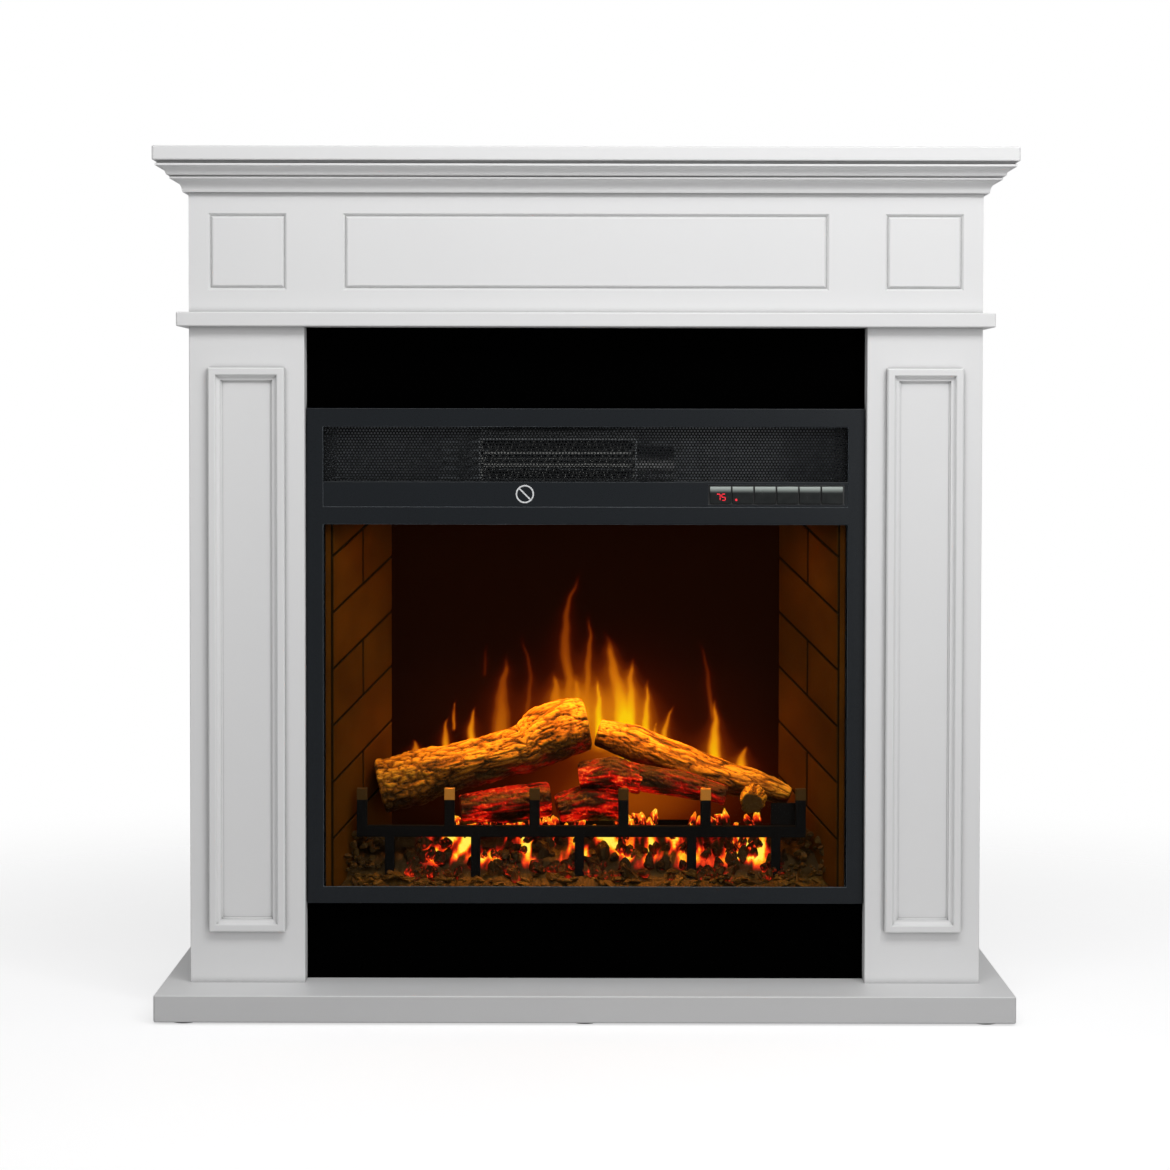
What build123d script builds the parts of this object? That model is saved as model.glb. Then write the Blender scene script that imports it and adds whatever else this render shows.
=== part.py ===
from build123d import *
import math
import os
import random

# An electric fireplace: a painted fibreboard mantel around a heater with a flame effect.
# Millimetres. The front faces -Y, +Z is up, and the origin is the middle of the footprint
# on the floor.

os.makedirs("parts", exist_ok=True)

# Driving dimensions of the mantel.
back_y = 152.5
board_thickness = 12
shelf_half_width = 449.5
shelf_front_y = -116.5
shelf_bottom_z = 892
shelf_top_z = 907
crown_bottom_z = 861
body_half_width = 416
body_front_y = -82.5
ledge_bottom_z = 721
ledge_top_z = 736
ledge_half_width = 428
ledge_front_y = -94.5
opening_half_width = 295
base_half_width = 445
base_bottom_z = 2
base_top_z = 30

# Driving dimensions of the heater insert.
sheet = 1.2
trim_half_width = 294
trim_bottom_z = 112
trim_top_z = 636
trim_front_y = -70.5
trim_back_y = -56.5
window_half_width = 276.5
window_bottom_z = 130
window_top_z = 513.5
control_bottom_z = 532.3
control_top_z = 558.8
outlet_top_z = 616.5
case_half_width = 280
case_bottom_z = 118
case_top_z = 630
case_back_y = 122
deck_bottom_z = 516
screen_front_y = 50
grate_bar_bottom_z = 178


def board(x0, x1, y0, y1, z0, z1):
    """A rectangular block between the given limits."""
    centre = Pos((x0 + x1) / 2, (y0 + y1) / 2, (z0 + z1) / 2)
    return centre * Box(x1 - x0, y1 - y0, z1 - z0)


def rod_x(x0, x1, y, z, radius):
    """A round bar lying along X."""
    return Pos((x0 + x1) / 2, y, z) * Rot(0, 90, 0) * Cylinder(radius, x1 - x0)


def rod_y(x, y0, y1, z, radius):
    """A round bar lying along Y."""
    return Pos(x, (y0 + y1) / 2, z) * Rot(90, 0, 0) * Cylinder(radius, y1 - y0)


def rod_z(x, y, z0, z1, radius):
    """An upright round bar."""
    return Pos(x, y, (z0 + z1) / 2) * Cylinder(radius, z1 - z0)


def mirrored(shape):
    """The same piece on the other side of the centre plane."""
    return mirror(shape, about=Plane.YZ)


def save(name, *pieces):
    """Write one named piece, or a set of loose solids that belong together."""
    solids = [solid for piece in pieces for solid in piece.solids()]
    whole = solids[0] if len(solids) == 1 else Compound(solids)
    export_step(whole, f"parts/{name}.step")


def outline_plan(points, z0, z1):
    """A prism with the given plan outline between two heights."""
    face = make_face(Polyline(*points, close=True))
    return Pos(0, 0, z0) * extrude(face, amount=z1 - z0)


# ---------------------------------------------------------------- mantel shelf
# One board with softly rounded front and side edges, carried by the frieze and its sides.
shelf_edge_radius = 1.6
shelf = board(-shelf_half_width, shelf_half_width, shelf_front_y, back_y, shelf_bottom_z, shelf_top_z)
front_corners = shelf.edges().filter_by(Axis.Z).group_by(Axis.Y)[0]
shelf = fillet(front_corners, 2.5)
flat_edges = shelf.edges().group_by(Axis.Z)[0] + shelf.edges().group_by(Axis.Z)[-1]
shelf = fillet([edge for edge in flat_edges if edge.center().Y < back_y - 1], shelf_edge_radius)
save("mantel_shelf", shelf)


# ---------------------------------------------------------------- crown moulding
# A run of moulding across the front and back along both sides, mitred at the two corners.
# Reading up the profile: a lip, a hollow, a bead with a quirk, a second hollow, a top fillet.
def crown_profile(plane):
    """The moulding's section: first axis outward from the wall, second axis up."""
    lower_cove = ThreePointArc((6, 1.6), (9.6, 9.6), (17.5, 13.3))
    upper_cove = ThreePointArc((21, 18.4), (23.6, 23.1), (30.5, 25.8))
    start = Polyline((0, 0), (5.5, 0), (6, 1.6))
    bead = Polyline((17.5, 13.3), (17.5, 15.2), (16.3, 15.9), (20.5, 17.2), (21, 18.4))
    top = Polyline((30.5, 25.8), (30.5, 28.0), (28.4, 28.8), (28.4, 31), (0, 31), (0, 0))
    return plane * make_face(start + lower_cove + bead + upper_cove + top)


crown_reach = 40
crown_span = body_half_width + crown_reach
front_plane = Plane(origin=(-crown_span, body_front_y, crown_bottom_z), x_dir=(0, -1, 0), z_dir=(-1, 0, 0))
side_plane = Plane(origin=(body_half_width, back_y, crown_bottom_z), x_dir=(1, 0, 0), z_dir=(0, -1, 0))
front_run = extrude(crown_profile(front_plane), amount=-2 * crown_span)
side_run = extrude(crown_profile(side_plane), amount=back_y - body_front_y + crown_reach)
mitre_corner = (crown_span, body_front_y - crown_reach)
front_plan = [
    (-body_half_width, body_front_y),
    (-crown_span, body_front_y - crown_reach),
    mitre_corner,
    (body_half_width, body_front_y),
]
side_plan = [
    (body_half_width, body_front_y),
    mitre_corner,
    (crown_span, back_y),
    (body_half_width, back_y),
]
crown_front = front_run & outline_plan(front_plan, crown_bottom_z, shelf_bottom_z)
crown_side = side_run & outline_plan(side_plan, crown_bottom_z, shelf_bottom_z)
save("crown_moulding", crown_front, crown_side, mirrored(crown_side))

# ---------------------------------------------------------------- frieze board
# The wide front board under the shelf, milled with three rectangular V-grooves.
groove_width = 5
groove_depth = 2.6
groove_bottom_z = 762
groove_top_z = 837


def v_groove(x0, x1, z0, z1):
    """The V-shaped cut around one rectangle in the frieze's front."""
    middle_x = (x0 + x1) / 2
    middle_z = (z0 + z1) / 2

    def outline(grow, y):
        plane = Plane(origin=(middle_x, y, middle_z), x_dir=(1, 0, 0), z_dir=(0, 1, 0))
        return plane * Rectangle(x1 - x0 + 2 * grow, z1 - z0 + 2 * grow)

    bottom = outline(0, body_front_y + groove_depth)
    outside = loft([outline(groove_width / 2, body_front_y), bottom])
    inside = loft([outline(-groove_width / 2, body_front_y), bottom])
    return outside - inside


frieze = board(
    -body_half_width, body_half_width, body_front_y, body_front_y + board_thickness, ledge_top_z, shelf_bottom_z
)
frieze -= v_groove(-252, 252, groove_bottom_z, groove_top_z)
frieze -= v_groove(-393, -316, groove_bottom_z, groove_top_z)
frieze -= v_groove(316, 393, groove_bottom_z, groove_top_z)
save("frieze_board", frieze)

# Side boards of the header, behind the frieze's ends.
inner_face_x = body_half_width - board_thickness
board_front_y = body_front_y + board_thickness
header_side = board(inner_face_x, body_half_width, board_front_y, back_y, ledge_top_z, shelf_bottom_z)

# ---------------------------------------------------------------- wall brackets
# Two steel angles that tie the mantel to the wall, one inside each header side.
bracket_thickness = 2
bracket_length = 30
bracket_bottom_z = 748
bracket_middle_z = bracket_bottom_z + bracket_length / 2
wall_hole_x = 384
wall_hole_radius = 2.75
bracket_screw_y = back_y - 18
bracket_wall_leg = board(
    inner_face_x - 36, inner_face_x, back_y - bracket_thickness, back_y, bracket_bottom_z,
    bracket_bottom_z + bracket_length,
)
bracket_side_leg = board(
    inner_face_x - bracket_thickness, inner_face_x, back_y - 32, back_y, bracket_bottom_z,
    bracket_bottom_z + bracket_length,
)
bracket = bracket_wall_leg + bracket_side_leg
bracket -= rod_y(wall_hole_x, back_y - 5, back_y + 1, bracket_middle_z, wall_hole_radius)
bracket -= rod_x(inner_face_x - 5, inner_face_x + 1, bracket_screw_y, bracket_middle_z, 2.1)
save("wall_brackets", bracket, mirrored(bracket))

bracket_screw_end_x = inner_face_x + 9
bracket_screw = rod_x(inner_face_x - 2, bracket_screw_end_x, bracket_screw_y, bracket_middle_z, 2)
bracket_screw += rod_x(inner_face_x - 4.4, inner_face_x - 2, bracket_screw_y, bracket_middle_z, 4)
header_side -= rod_x(inner_face_x - 1, bracket_screw_end_x, bracket_screw_y, bracket_middle_z, 2.05)
save("header_sides", header_side, mirrored(header_side))

# ---------------------------------------------------------------- header ledge
# The board between the pillars and the frieze, standing proud all round the front.
ledge = board(-ledge_half_width, ledge_half_width, ledge_front_y, back_y, ledge_bottom_z, ledge_top_z)
ledge = fillet(ledge.edges().filter_by(Axis.Z).group_by(Axis.Y)[0], 2)
flat_edges = ledge.edges().group_by(Axis.Z)[0] + ledge.edges().group_by(Axis.Z)[-1]
ledge = fillet([edge for edge in flat_edges if edge.center().Y < back_y - 1], 1.6)
save("header_ledge", ledge)

# A rail across the back, under the shelf.
save("rear_stretcher", board(-inner_face_x, inner_face_x, back_y - 15, back_y, 792, shelf_bottom_z))

# ---------------------------------------------------------------- pillars
# Each pillar is a front board with two side boards behind it, screwed down to the base.
base_screw_ys = (-40, 110)
base_screw_xs = (opening_half_width + board_thickness / 2, body_half_width - board_thickness / 2)
base_screw_end_z = 66

pillar_face = board(
    opening_half_width, body_half_width, body_front_y, board_front_y, base_top_z, ledge_bottom_z
)
pillar_face = fillet(pillar_face.edges().filter_by(Axis.Z).group_by(Axis.Y)[0], 1.2)
save("right_pilaster_face", pillar_face)
save("left_pilaster_face", mirrored(pillar_face))

inner_side = board(
    opening_half_width, opening_half_width + board_thickness, board_front_y, back_y, base_top_z, ledge_bottom_z
)
outer_side = board(inner_face_x, body_half_width, board_front_y, back_y, base_top_z, ledge_bottom_z)
for screw_y in base_screw_ys:
    inner_side -= rod_z(base_screw_xs[0], screw_y, base_top_z - 1, base_screw_end_z, 2.55)
    outer_side -= rod_z(base_screw_xs[1], screw_y, base_top_z - 1, base_screw_end_z, 2.55)
save("right_pilaster_sides", inner_side, outer_side)
save("left_pilaster_sides", mirrored(inner_side), mirrored(outer_side))

# ---------------------------------------------------------------- pilaster mouldings
# Picture-frame moulding on each pillar: a flat outer band, then a hollow stepping inward.
frame_middle_x = 355.5
frame_half_width = 40
frame_bottom_z = 85
frame_top_z = 678
stick_width = 14.5


def stick_profile(plane):
    """Section of one stick: first axis in from the outer edge, second axis out of the board."""
    band = Polyline((0, 0), (0, 7.6), (1.4, 9), (7.0, 9), (8.0, 8.2))
    cove = ThreePointArc((8.0, 8.2), (9.1, 5.2), (11.6, 3.7))
    foot = Polyline((11.6, 3.7), (12.9, 3.7), (12.9, 1.6), (stick_width, 1.2), (stick_width, 0), (0, 0))
    return plane * make_face(band + cove + foot)


def mitred_stick(corner, inward, wedge):
    """One stick along an outer edge of the frame, cut to its wedge of the rectangle."""
    outward = Vector(0, -1, 0)
    along = Vector(*inward).cross(outward)
    plane = Plane(origin=(corner[0], body_front_y, corner[1]), x_dir=inward, z_dir=along)
    run = extrude(stick_profile(plane), amount=frame_height, both=True)
    section = Plane(origin=(0, body_front_y, 0), x_dir=(1, 0, 0), z_dir=outward)
    return run & extrude(section * make_face(Polyline(*wedge, close=True)), amount=board_thickness)


frame_left_x = frame_middle_x - frame_half_width
frame_right_x = frame_middle_x + frame_half_width
frame_height = frame_top_z - frame_bottom_z
outer_corners = [
    (frame_left_x, frame_bottom_z),
    (frame_right_x, frame_bottom_z),
    (frame_right_x, frame_top_z),
    (frame_left_x, frame_top_z),
]
inner_corners = [
    (frame_left_x + stick_width, frame_bottom_z + stick_width),
    (frame_right_x - stick_width, frame_bottom_z + stick_width),
    (frame_right_x - stick_width, frame_top_z - stick_width),
    (frame_left_x + stick_width, frame_top_z - stick_width),
]
inward_ways = [(0, 0, 1), (-1, 0, 0), (0, 0, -1), (1, 0, 0)]
sticks = []
for corner, inward in enumerate(inward_ways):
    following = (corner + 1) % 4
    wedge = [outer_corners[corner], outer_corners[following], inner_corners[following], inner_corners[corner]]
    sticks.append(mitred_stick(outer_corners[corner], inward, wedge))
save("right_pilaster_moulding", *sticks)
save("left_pilaster_moulding", *[mirrored(stick) for stick in sticks])

# ---------------------------------------------------------------- hearth base
# The thick board everything stands on, with counterbored holes for the pillar screws.
base = board(-base_half_width, base_half_width, -back_y, back_y, base_bottom_z, base_top_z)
base = fillet(base.edges().filter_by(Axis.Z).group_by(Axis.Y)[0], 2.5)
flat_edges = base.edges().group_by(Axis.Z)[0] + base.edges().group_by(Axis.Z)[-1]
base = fillet([edge for edge in flat_edges if edge.center().Y < back_y - 1], 1.6)
head_seat_z = base_bottom_z + 5
mantel_screws = [bracket_screw, mirrored(bracket_screw)]
for side in (-1, 1):
    for screw_x in base_screw_xs:
        for screw_y in base_screw_ys:
            base -= rod_z(side * screw_x, screw_y, base_bottom_z, head_seat_z, 5.5)
            base -= rod_z(side * screw_x, screw_y, head_seat_z, base_top_z, 2.6)
            screw = rod_z(side * screw_x, screw_y, head_seat_z - 3, head_seat_z, 4.8)
            screw += rod_z(side * screw_x, screw_y, head_seat_z, base_screw_end_z - 1, 2.5)
            screw -= rod_z(side * screw_x, screw_y, head_seat_z - 3, head_seat_z - 1, 2)
            mantel_screws.append(screw)
save("hearth_base", base)
save("mantel_screws", *mantel_screws)

# Pads that keep the base off the floor.
glide_radius = 14
glides = []
for glide_x in (-415, 0, 415):
    for glide_y in (-132, 132):
        glides.append(rod_z(glide_x, glide_y, 0, base_bottom_z, glide_radius))
save("floor_glides", *glides)

# ---------------------------------------------------------------- infill and platform
# Black boards close the opening over and under the heater; a low stand carries the heater.
infill_front_y = trim_back_y
infill_back_y = infill_front_y + board_thickness
save(
    "upper_infill_panel",
    board(-opening_half_width, opening_half_width, infill_front_y, infill_back_y, trim_top_z, ledge_bottom_z),
)
save(
    "lower_infill_panel",
    board(-opening_half_width, opening_half_width, infill_front_y, infill_back_y, base_top_z, trim_bottom_z),
)
platform_thickness = 15
platform_bottom_z = case_bottom_z - platform_thickness
platform_top = board(-282, 282, infill_back_y + 0.5, 130, platform_bottom_z, case_bottom_z)
platform_leg = board(260 - platform_thickness, 260, -40, 126, base_top_z, platform_bottom_z)
save("insert_platform", platform_top, platform_leg, mirrored(platform_leg))

# ---------------------------------------------------------------- trim frame
# One pressed sheet frame with edges folded back, a large window and a window for the heat outlet.
trim = board(-trim_half_width, trim_half_width, trim_front_y, trim_back_y, trim_bottom_z, trim_top_z)
skin_back_y = trim_front_y + sheet
return_x = trim_half_width - sheet
trim = fillet(trim.edges().group_by(Axis.Y)[0], 1.0)
trim -= board(
    -return_x, return_x, skin_back_y, trim_back_y + 1, trim_bottom_z + sheet, trim_top_z - sheet
)
trim -= board(
    -window_half_width, window_half_width, trim_front_y - 1, trim_back_y, window_bottom_z, window_top_z
)
trim -= board(
    -window_half_width, window_half_width, trim_front_y - 1, trim_back_y, control_bottom_z, outlet_top_z
)
save("trim_frame", trim)

# ---------------------------------------------------------------- front chassis
# The flat frame behind the trim that ties the case panels together.
chassis_back_y = trim_back_y
chassis_front_y = chassis_back_y - sheet
chassis_window_x = 276
chassis = board(
    -return_x, return_x, chassis_front_y, chassis_back_y, trim_bottom_z + sheet, trim_top_z - sheet
)
chassis -= board(-chassis_window_x, chassis_window_x, -60, -50, 128, 514)
chassis -= board(-chassis_window_x, chassis_window_x, -60, -50, 531, 616)
save("front_chassis", chassis)

# ---------------------------------------------------------------- outlet grille
# A sheet with rows of slots across the heat outlet.
grille_back_y = chassis_front_y
grille_front_y = grille_back_y - 1
slot_length = 12.4
slot_height = 4.2
slot_pitch_x = 15.2
slot_pitch_z = 6.8
slots_per_row = 36
slot_rows = 8
grille_middle_z = 587.6
grille_bottom_z = control_top_z + 0.6
grille_top_z = 626
grille_plane = Plane(origin=(0, grille_front_y, grille_middle_z), x_dir=(1, 0, 0), z_dir=(0, 1, 0))
sheet_middle = (grille_bottom_z + grille_top_z) / 2 - grille_middle_z
sheet_outline = grille_plane * Pos(0, -sheet_middle) * Rectangle(572, grille_top_z - grille_bottom_z)
slot_outlines = []
for place in GridLocations(slot_pitch_x, slot_pitch_z, slots_per_row, slot_rows):
    slot = grille_plane * place * Rectangle(slot_length, slot_height)
    slot_outlines.append(slot.face().outer_wire())
grille_face = Face(sheet_outline.face().outer_wire(), slot_outlines)
grille = extrude(grille_face, amount=grille_back_y - grille_front_y, dir=(0, 1, 0))
save("outlet_grille", grille)

# ---------------------------------------------------------------- control fascia
# A folded channel under the grille, with one long cut-out for the keys.
fascia_front_y = skin_back_y
fascia_face_back_y = fascia_front_y + sheet
fascia_bottom_z = 528
key_slot_left_x = 129.5
key_slot_right_x = 273
fascia = board(-286, 286, fascia_front_y, fascia_face_back_y, fascia_bottom_z, control_top_z)
fascia += board(-286, 286, fascia_front_y, grille_front_y, control_top_z - sheet, control_top_z)
fascia += board(-286, 286, fascia_front_y, chassis_front_y, fascia_bottom_z, fascia_bottom_z + sheet)
fascia = fillet(fascia.edges().filter_by(Axis.X).group_by(Axis.Y)[0].group_by(Axis.Z)[-1], 0.9)
fascia -= board(key_slot_left_x, key_slot_right_x, fascia_front_y - 1, fascia_face_back_y + 1, 534.8, 555.6)
save("control_fascia", fascia)

# ---------------------------------------------------------------- keys
# Six sprung keys in a moulded frame. Each has a flange that keeps it from falling out of the
# frame and a stem that reaches a small switch on the board behind.
key_pitch = 23.6
key_row_x = 201.2
key_centre_z = 544.85
key_width = 21.7
key_height = 17.7
key_front_y = -70.4
key_frame_back_y = -63.2
key_stem_z = 550
key_xs = [key_row_x + (number - 2.5) * key_pitch for number in range(6)]

key_clearance = 0.3
key_hole_reach_x = key_width / 2 + key_clearance
key_hole_reach_z = key_height / 2 + 0.4
key_frame = board(124.5, 275.6, fascia_face_back_y, key_frame_back_y, 530, 557)
for key_x in key_xs:
    key_frame -= board(
        key_x - key_hole_reach_x, key_x + key_hole_reach_x, fascia_face_back_y - 1, key_frame_back_y + 1,
        key_centre_z - key_hole_reach_z, key_centre_z + key_hole_reach_z,
    )
circuit_front_y = -50
for post_x in (127.2, 274.2):
    for post_z in (532.6, 555.2):
        key_frame += rod_y(post_x, key_frame_back_y, circuit_front_y, post_z, 1.3)
save("key_frame", key_frame)

key_slope_depth = 1.4
key_slope_height = 4.6
flange_reach_x = 11.5
flange_reach_z = 10.2
flange_front_gap = 0.1
flange_thickness = 1.2
stem_radius = 2
stem_end_y = -57.6
for number, key_x in enumerate(key_xs, start=1):
    cap = board(
        key_x - key_width / 2, key_x + key_width / 2, key_front_y, key_frame_back_y + 0.1,
        key_centre_z - key_height / 2, key_centre_z + key_height / 2,
    )
    top_front_edge = cap.edges().filter_by(Axis.X).group_by(Axis.Y)[0].group_by(Axis.Z)[-1]
    cap_top = cap.faces().sort_by(Axis.Z)[-1]
    cap = chamfer(top_front_edge, key_slope_depth, key_slope_height, reference=cap_top)
    flange_front = key_frame_back_y + flange_front_gap
    flange_back = flange_front + flange_thickness
    flange = board(
        key_x - flange_reach_x, key_x + flange_reach_x, flange_front, flange_back,
        key_centre_z - flange_reach_z, key_centre_z + flange_reach_z,
    )
    stem = rod_y(key_x, flange_back, stem_end_y, key_stem_z, stem_radius)
    save(f"button_{number}", cap + flange + stem)

# ---------------------------------------------------------------- control board
# The circuit board with one push switch behind each key, a small lamp and two chips.
circuit_back_y = circuit_front_y + 1.6
switch_reach = 3
switch_front_y = circuit_front_y - 3.5
plunger_front_y = -55.9
lamp_stand = 5
circuit = board(125, 275.8, circuit_front_y, circuit_back_y, 531, 556.6)
for key_x in key_xs:
    circuit += board(
        key_x - switch_reach, key_x + switch_reach, switch_front_y, circuit_front_y,
        key_stem_z - switch_reach, key_stem_z + switch_reach,
    )
    circuit += rod_y(key_x, plunger_front_y, switch_front_y, key_stem_z, 1.6)
circuit += rod_y(159.4, circuit_front_y - lamp_stand, circuit_front_y, 541, 1.5)
for chip_x in (160, 230):
    circuit += board(chip_x - 8, chip_x + 8, circuit_back_y, circuit_back_y + 3, 538, 550)
save("control_board", circuit)
save("display_module", board(135.2, 149.2, -56, circuit_front_y, 536.5, 545.5))

# ---------------------------------------------------------------- glass
# A clear pane behind the trim, held by six spring clips.
glass_back_y = skin_back_y + 4
glass = board(-284.5, 284.5, skin_back_y, glass_back_y, 122, 521.5)
save("glass_panel", glass)

clips = []
for clip_z in (170, 320, 470):
    clip_low_z = clip_z - 8
    clip_high_z = clip_z + 8
    clip = board(285, 291.5, skin_back_y, skin_back_y + 1, clip_low_z, clip_high_z)
    clip += board(285, 286, skin_back_y, glass_back_y + 1, clip_low_z, clip_high_z)
    clip += board(279, 286, glass_back_y, glass_back_y + 1, clip_low_z, clip_high_z)
    clips += [clip, mirrored(clip)]
save("glass_clips", *clips)

# ---------------------------------------------------------------- case
# Flat sheet panels: floor, roof, two sides with a folded rear flange, and a screwed rear cover.
side_inner_x = case_half_width - sheet
cover_front_y = case_back_y - sheet
flange_front_y = cover_front_y - sheet
floor_top_z = case_bottom_z + sheet
roof_bottom_z = case_top_z - sheet
flange_inner_x = 266
case_screw_x = 272.5
case_screw_zs = (150, 300, 450, 600)

case_side = board(side_inner_x, case_half_width, chassis_back_y, cover_front_y, case_bottom_z, case_top_z)
case_side += board(flange_inner_x, side_inner_x, flange_front_y, cover_front_y, floor_top_z, roof_bottom_z)
for screw_z in case_screw_zs:
    case_side -= rod_y(case_screw_x, flange_front_y - 1, cover_front_y + 1, screw_z, 1.5)
save("case_right", case_side)
save("case_left", mirrored(case_side))

case_floor = board(-side_inner_x, side_inner_x, chassis_back_y, flange_front_y, case_bottom_z, floor_top_z)
save("case_bottom", case_floor)
save("case_top", board(-side_inner_x, side_inner_x, chassis_back_y, flange_front_y, roof_bottom_z, case_top_z))

# The rear cover has louvres for the air intake and a hole for the cord gland.
gland_x = 200
gland_z = 160
gland_bore_radius = 4
gland_neck_radius = 8
cover = board(-case_half_width, case_half_width, cover_front_y, case_back_y, case_bottom_z, case_top_z)
louvre_pitch_x = 34
louvre_pitch_z = 10
louvre_length = 26
louvre_height = 3.6
louvre_middle_z = 575
for place in GridLocations(louvre_pitch_x, louvre_pitch_z, 10, 6):
    louvre = Box(louvre_length, 4 * sheet, louvre_height)
    cover -= Pos(place.position.X, case_back_y, louvre_middle_z + place.position.Y) * louvre
cover -= rod_y(gland_x, cover_front_y - 1, case_back_y + 1, gland_z, gland_neck_radius + 0.1)
case_screws = []
for side in (-1, 1):
    for screw_z in case_screw_zs:
        screw_x = side * case_screw_x
        cover -= rod_y(screw_x, cover_front_y - 1, case_back_y + 1, screw_z, 1.6)
        screw = rod_y(screw_x, case_back_y, case_back_y + 2, screw_z, 3.6)
        screw += rod_y(screw_x, cover_front_y - 5, case_back_y, screw_z, 1.4)
        screw -= Pos(screw_x, case_back_y + 2, screw_z) * Box(4.4, 1.6, 0.9)
        screw -= Pos(screw_x, case_back_y + 2, screw_z) * Box(0.9, 1.6, 4.4)
        case_screws.append(screw)
save("rear_cover", cover)
save("case_screws", *case_screws)

gland_head_y = case_back_y + 8
gland_nut_back_y = cover_front_y - 6
gland_nut_front_y = gland_nut_back_y - 3
gland = rod_y(gland_x, case_back_y, gland_head_y, gland_z, 11)
gland += rod_y(gland_x, gland_nut_back_y, case_back_y, gland_z, gland_neck_radius)
gland += rod_y(gland_x, gland_nut_front_y, gland_nut_back_y, gland_z, 10)
gland -= rod_y(gland_x, gland_nut_front_y - 1, gland_head_y + 1, gland_z, gland_bore_radius)
save("cord_gland", gland)

# The deck divides the warm heater space above from the flame box below.
deck_top_z = deck_bottom_z + sheet
save(
    "heater_deck",
    board(-side_inner_x, side_inner_x, chassis_back_y, flange_front_y, deck_bottom_z, deck_top_z),
)

# ---------------------------------------------------------------- brick side panels
# Thick moulded panels that splay inward toward the back. Sloping joints are pressed into the
# face, with an upright joint half way along every second course.
wall_front_x = 267.5
wall_front_y = -61
wall_back_x = 212
wall_back_y = screen_front_y - 0.5
wall_run = math.hypot(wall_front_x - wall_back_x, wall_back_y - wall_front_y)
course_rise = 0.44
course_height = 60
joint_width = 3.4
joint_depth = 1.3
brick_plan = [
    (wall_front_x, wall_front_y),
    (275, wall_front_y),
    (275, -58),
    (269.35, -58),
    (215.36, wall_back_y),
    (wall_back_x, wall_back_y),
]
brick_panel = outline_plan(brick_plan, floor_top_z, deck_bottom_z)
wall_along = ((wall_back_x - wall_front_x) / wall_run, (wall_back_y - wall_front_y) / wall_run, 0)
wall_normal = (-wall_along[1], wall_along[0], 0)
wall_plane = Plane(origin=(wall_front_x, wall_front_y, 0), x_dir=wall_along, z_dir=wall_normal)
up_sign = wall_plane.y_dir.Z
slope_angle = math.degrees(math.atan(course_rise))
for course in range(8):
    start_z = 120 + course_height * course
    middle_along = wall_run / 2
    middle_up = start_z + course_rise * middle_along
    joint = Box(wall_run * 1.3, joint_width, 2 * joint_depth)
    placed = wall_plane * Pos(middle_along, up_sign * middle_up, 0) * Rot(0, 0, up_sign * slope_angle) * joint
    brick_panel -= placed
    if course % 2 == 1 and start_z < 500:
        upright = Box(joint_width, course_height - joint_width, 2 * joint_depth)
        upright_up = middle_up + course_height / 2
        brick_panel -= wall_plane * Pos(middle_along, up_sign * upright_up, 0) * upright
brick_panel &= board(200, 280, -70, 60, floor_top_z, deck_bottom_z)
brick_panel -= board(260, 280, -70, chassis_back_y + 0.2, floor_top_z - 1, 128.3)
brick_panel -= board(260, 280, -70, chassis_back_y + 0.2, 513.7, deck_bottom_z + 1)
save("right_brick_panel", brick_panel)
save("left_brick_panel", mirrored(brick_panel))

# ---------------------------------------------------------------- flame screen and mask
# The flames are thrown on a frosted screen from behind, through a plate cut with flame shapes.
save("flame_screen", board(-232, 232, screen_front_y, screen_front_y + 3, floor_top_z, deck_bottom_z))

mask_y = 72
mask = board(-232, 232, mask_y, mask_y + sheet, floor_top_z, 500)
flame_cuts = [
    (-150, 60, 34),
    (-98, 90, 40),
    (-44, 130, 46),
    (4, 190, 50),
    (58, 120, 44),
    (108, 110, 42),
    (156, 60, 34),
]
flame_outline = [
    (0, 0),
    (0.5, 0.22),
    (0.42, 0.45),
    (0.16, 0.72),
    (0, 1),
    (-0.1, 0.7),
    (-0.4, 0.42),
    (-0.5, 0.2),
]
flame_root_z = 232
for flame_x, flame_height, flame_width in flame_cuts:
    points = []
    for across, up in flame_outline:
        points.append((flame_x + across * flame_width, flame_root_z + up * flame_height))
    section = Plane(origin=(0, mask_y + 3, 0), x_dir=(1, 0, 0), z_dir=(0, -1, 0))
    mask -= extrude(section * make_face(Polyline(*points, close=True)), amount=6)
save("flame_mask", mask)

# ---------------------------------------------------------------- flicker spindle
# A slow-turning shaft with reflective vanes set at changing angles, between two brackets.
spindle_y = 92
spindle_z = 160
shaft_radius = 3
vane_reach = 14.4
spindle_end_x = 214
shaft_clearance = 0.05
vane_count = 13
vane_pitch = 30
vane_turn = 40
spindle = rod_x(-spindle_end_x, spindle_end_x, spindle_y, spindle_z, shaft_radius)
for number in range(vane_count):
    vane = Rot(number * vane_turn, 0, 0) * Box(26, 0.8, 2 * vane_reach)
    vane_x = (number - (vane_count - 1) / 2) * vane_pitch
    spindle += Pos(vane_x, spindle_y, spindle_z) * vane
save("flicker_spindle", spindle)

bearing_inner_x = 206
bearing_outer_x = 208
bearing_reach = 18
bearing_front_y = spindle_y - bearing_reach
bearing_back_y = spindle_y + bearing_reach
bearing = board(
    bearing_inner_x, bearing_outer_x, bearing_front_y, bearing_back_y, floor_top_z, spindle_z + bearing_reach
)
bearing += board(
    bearing_inner_x - 10, bearing_outer_x, bearing_front_y, bearing_back_y, floor_top_z, floor_top_z + 2
)
bearing -= rod_x(
    bearing_inner_x - 1, bearing_outer_x + 1, spindle_y, spindle_z, shaft_radius + shaft_clearance
)
save("spindle_bearings", bearing, mirrored(bearing))

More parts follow.
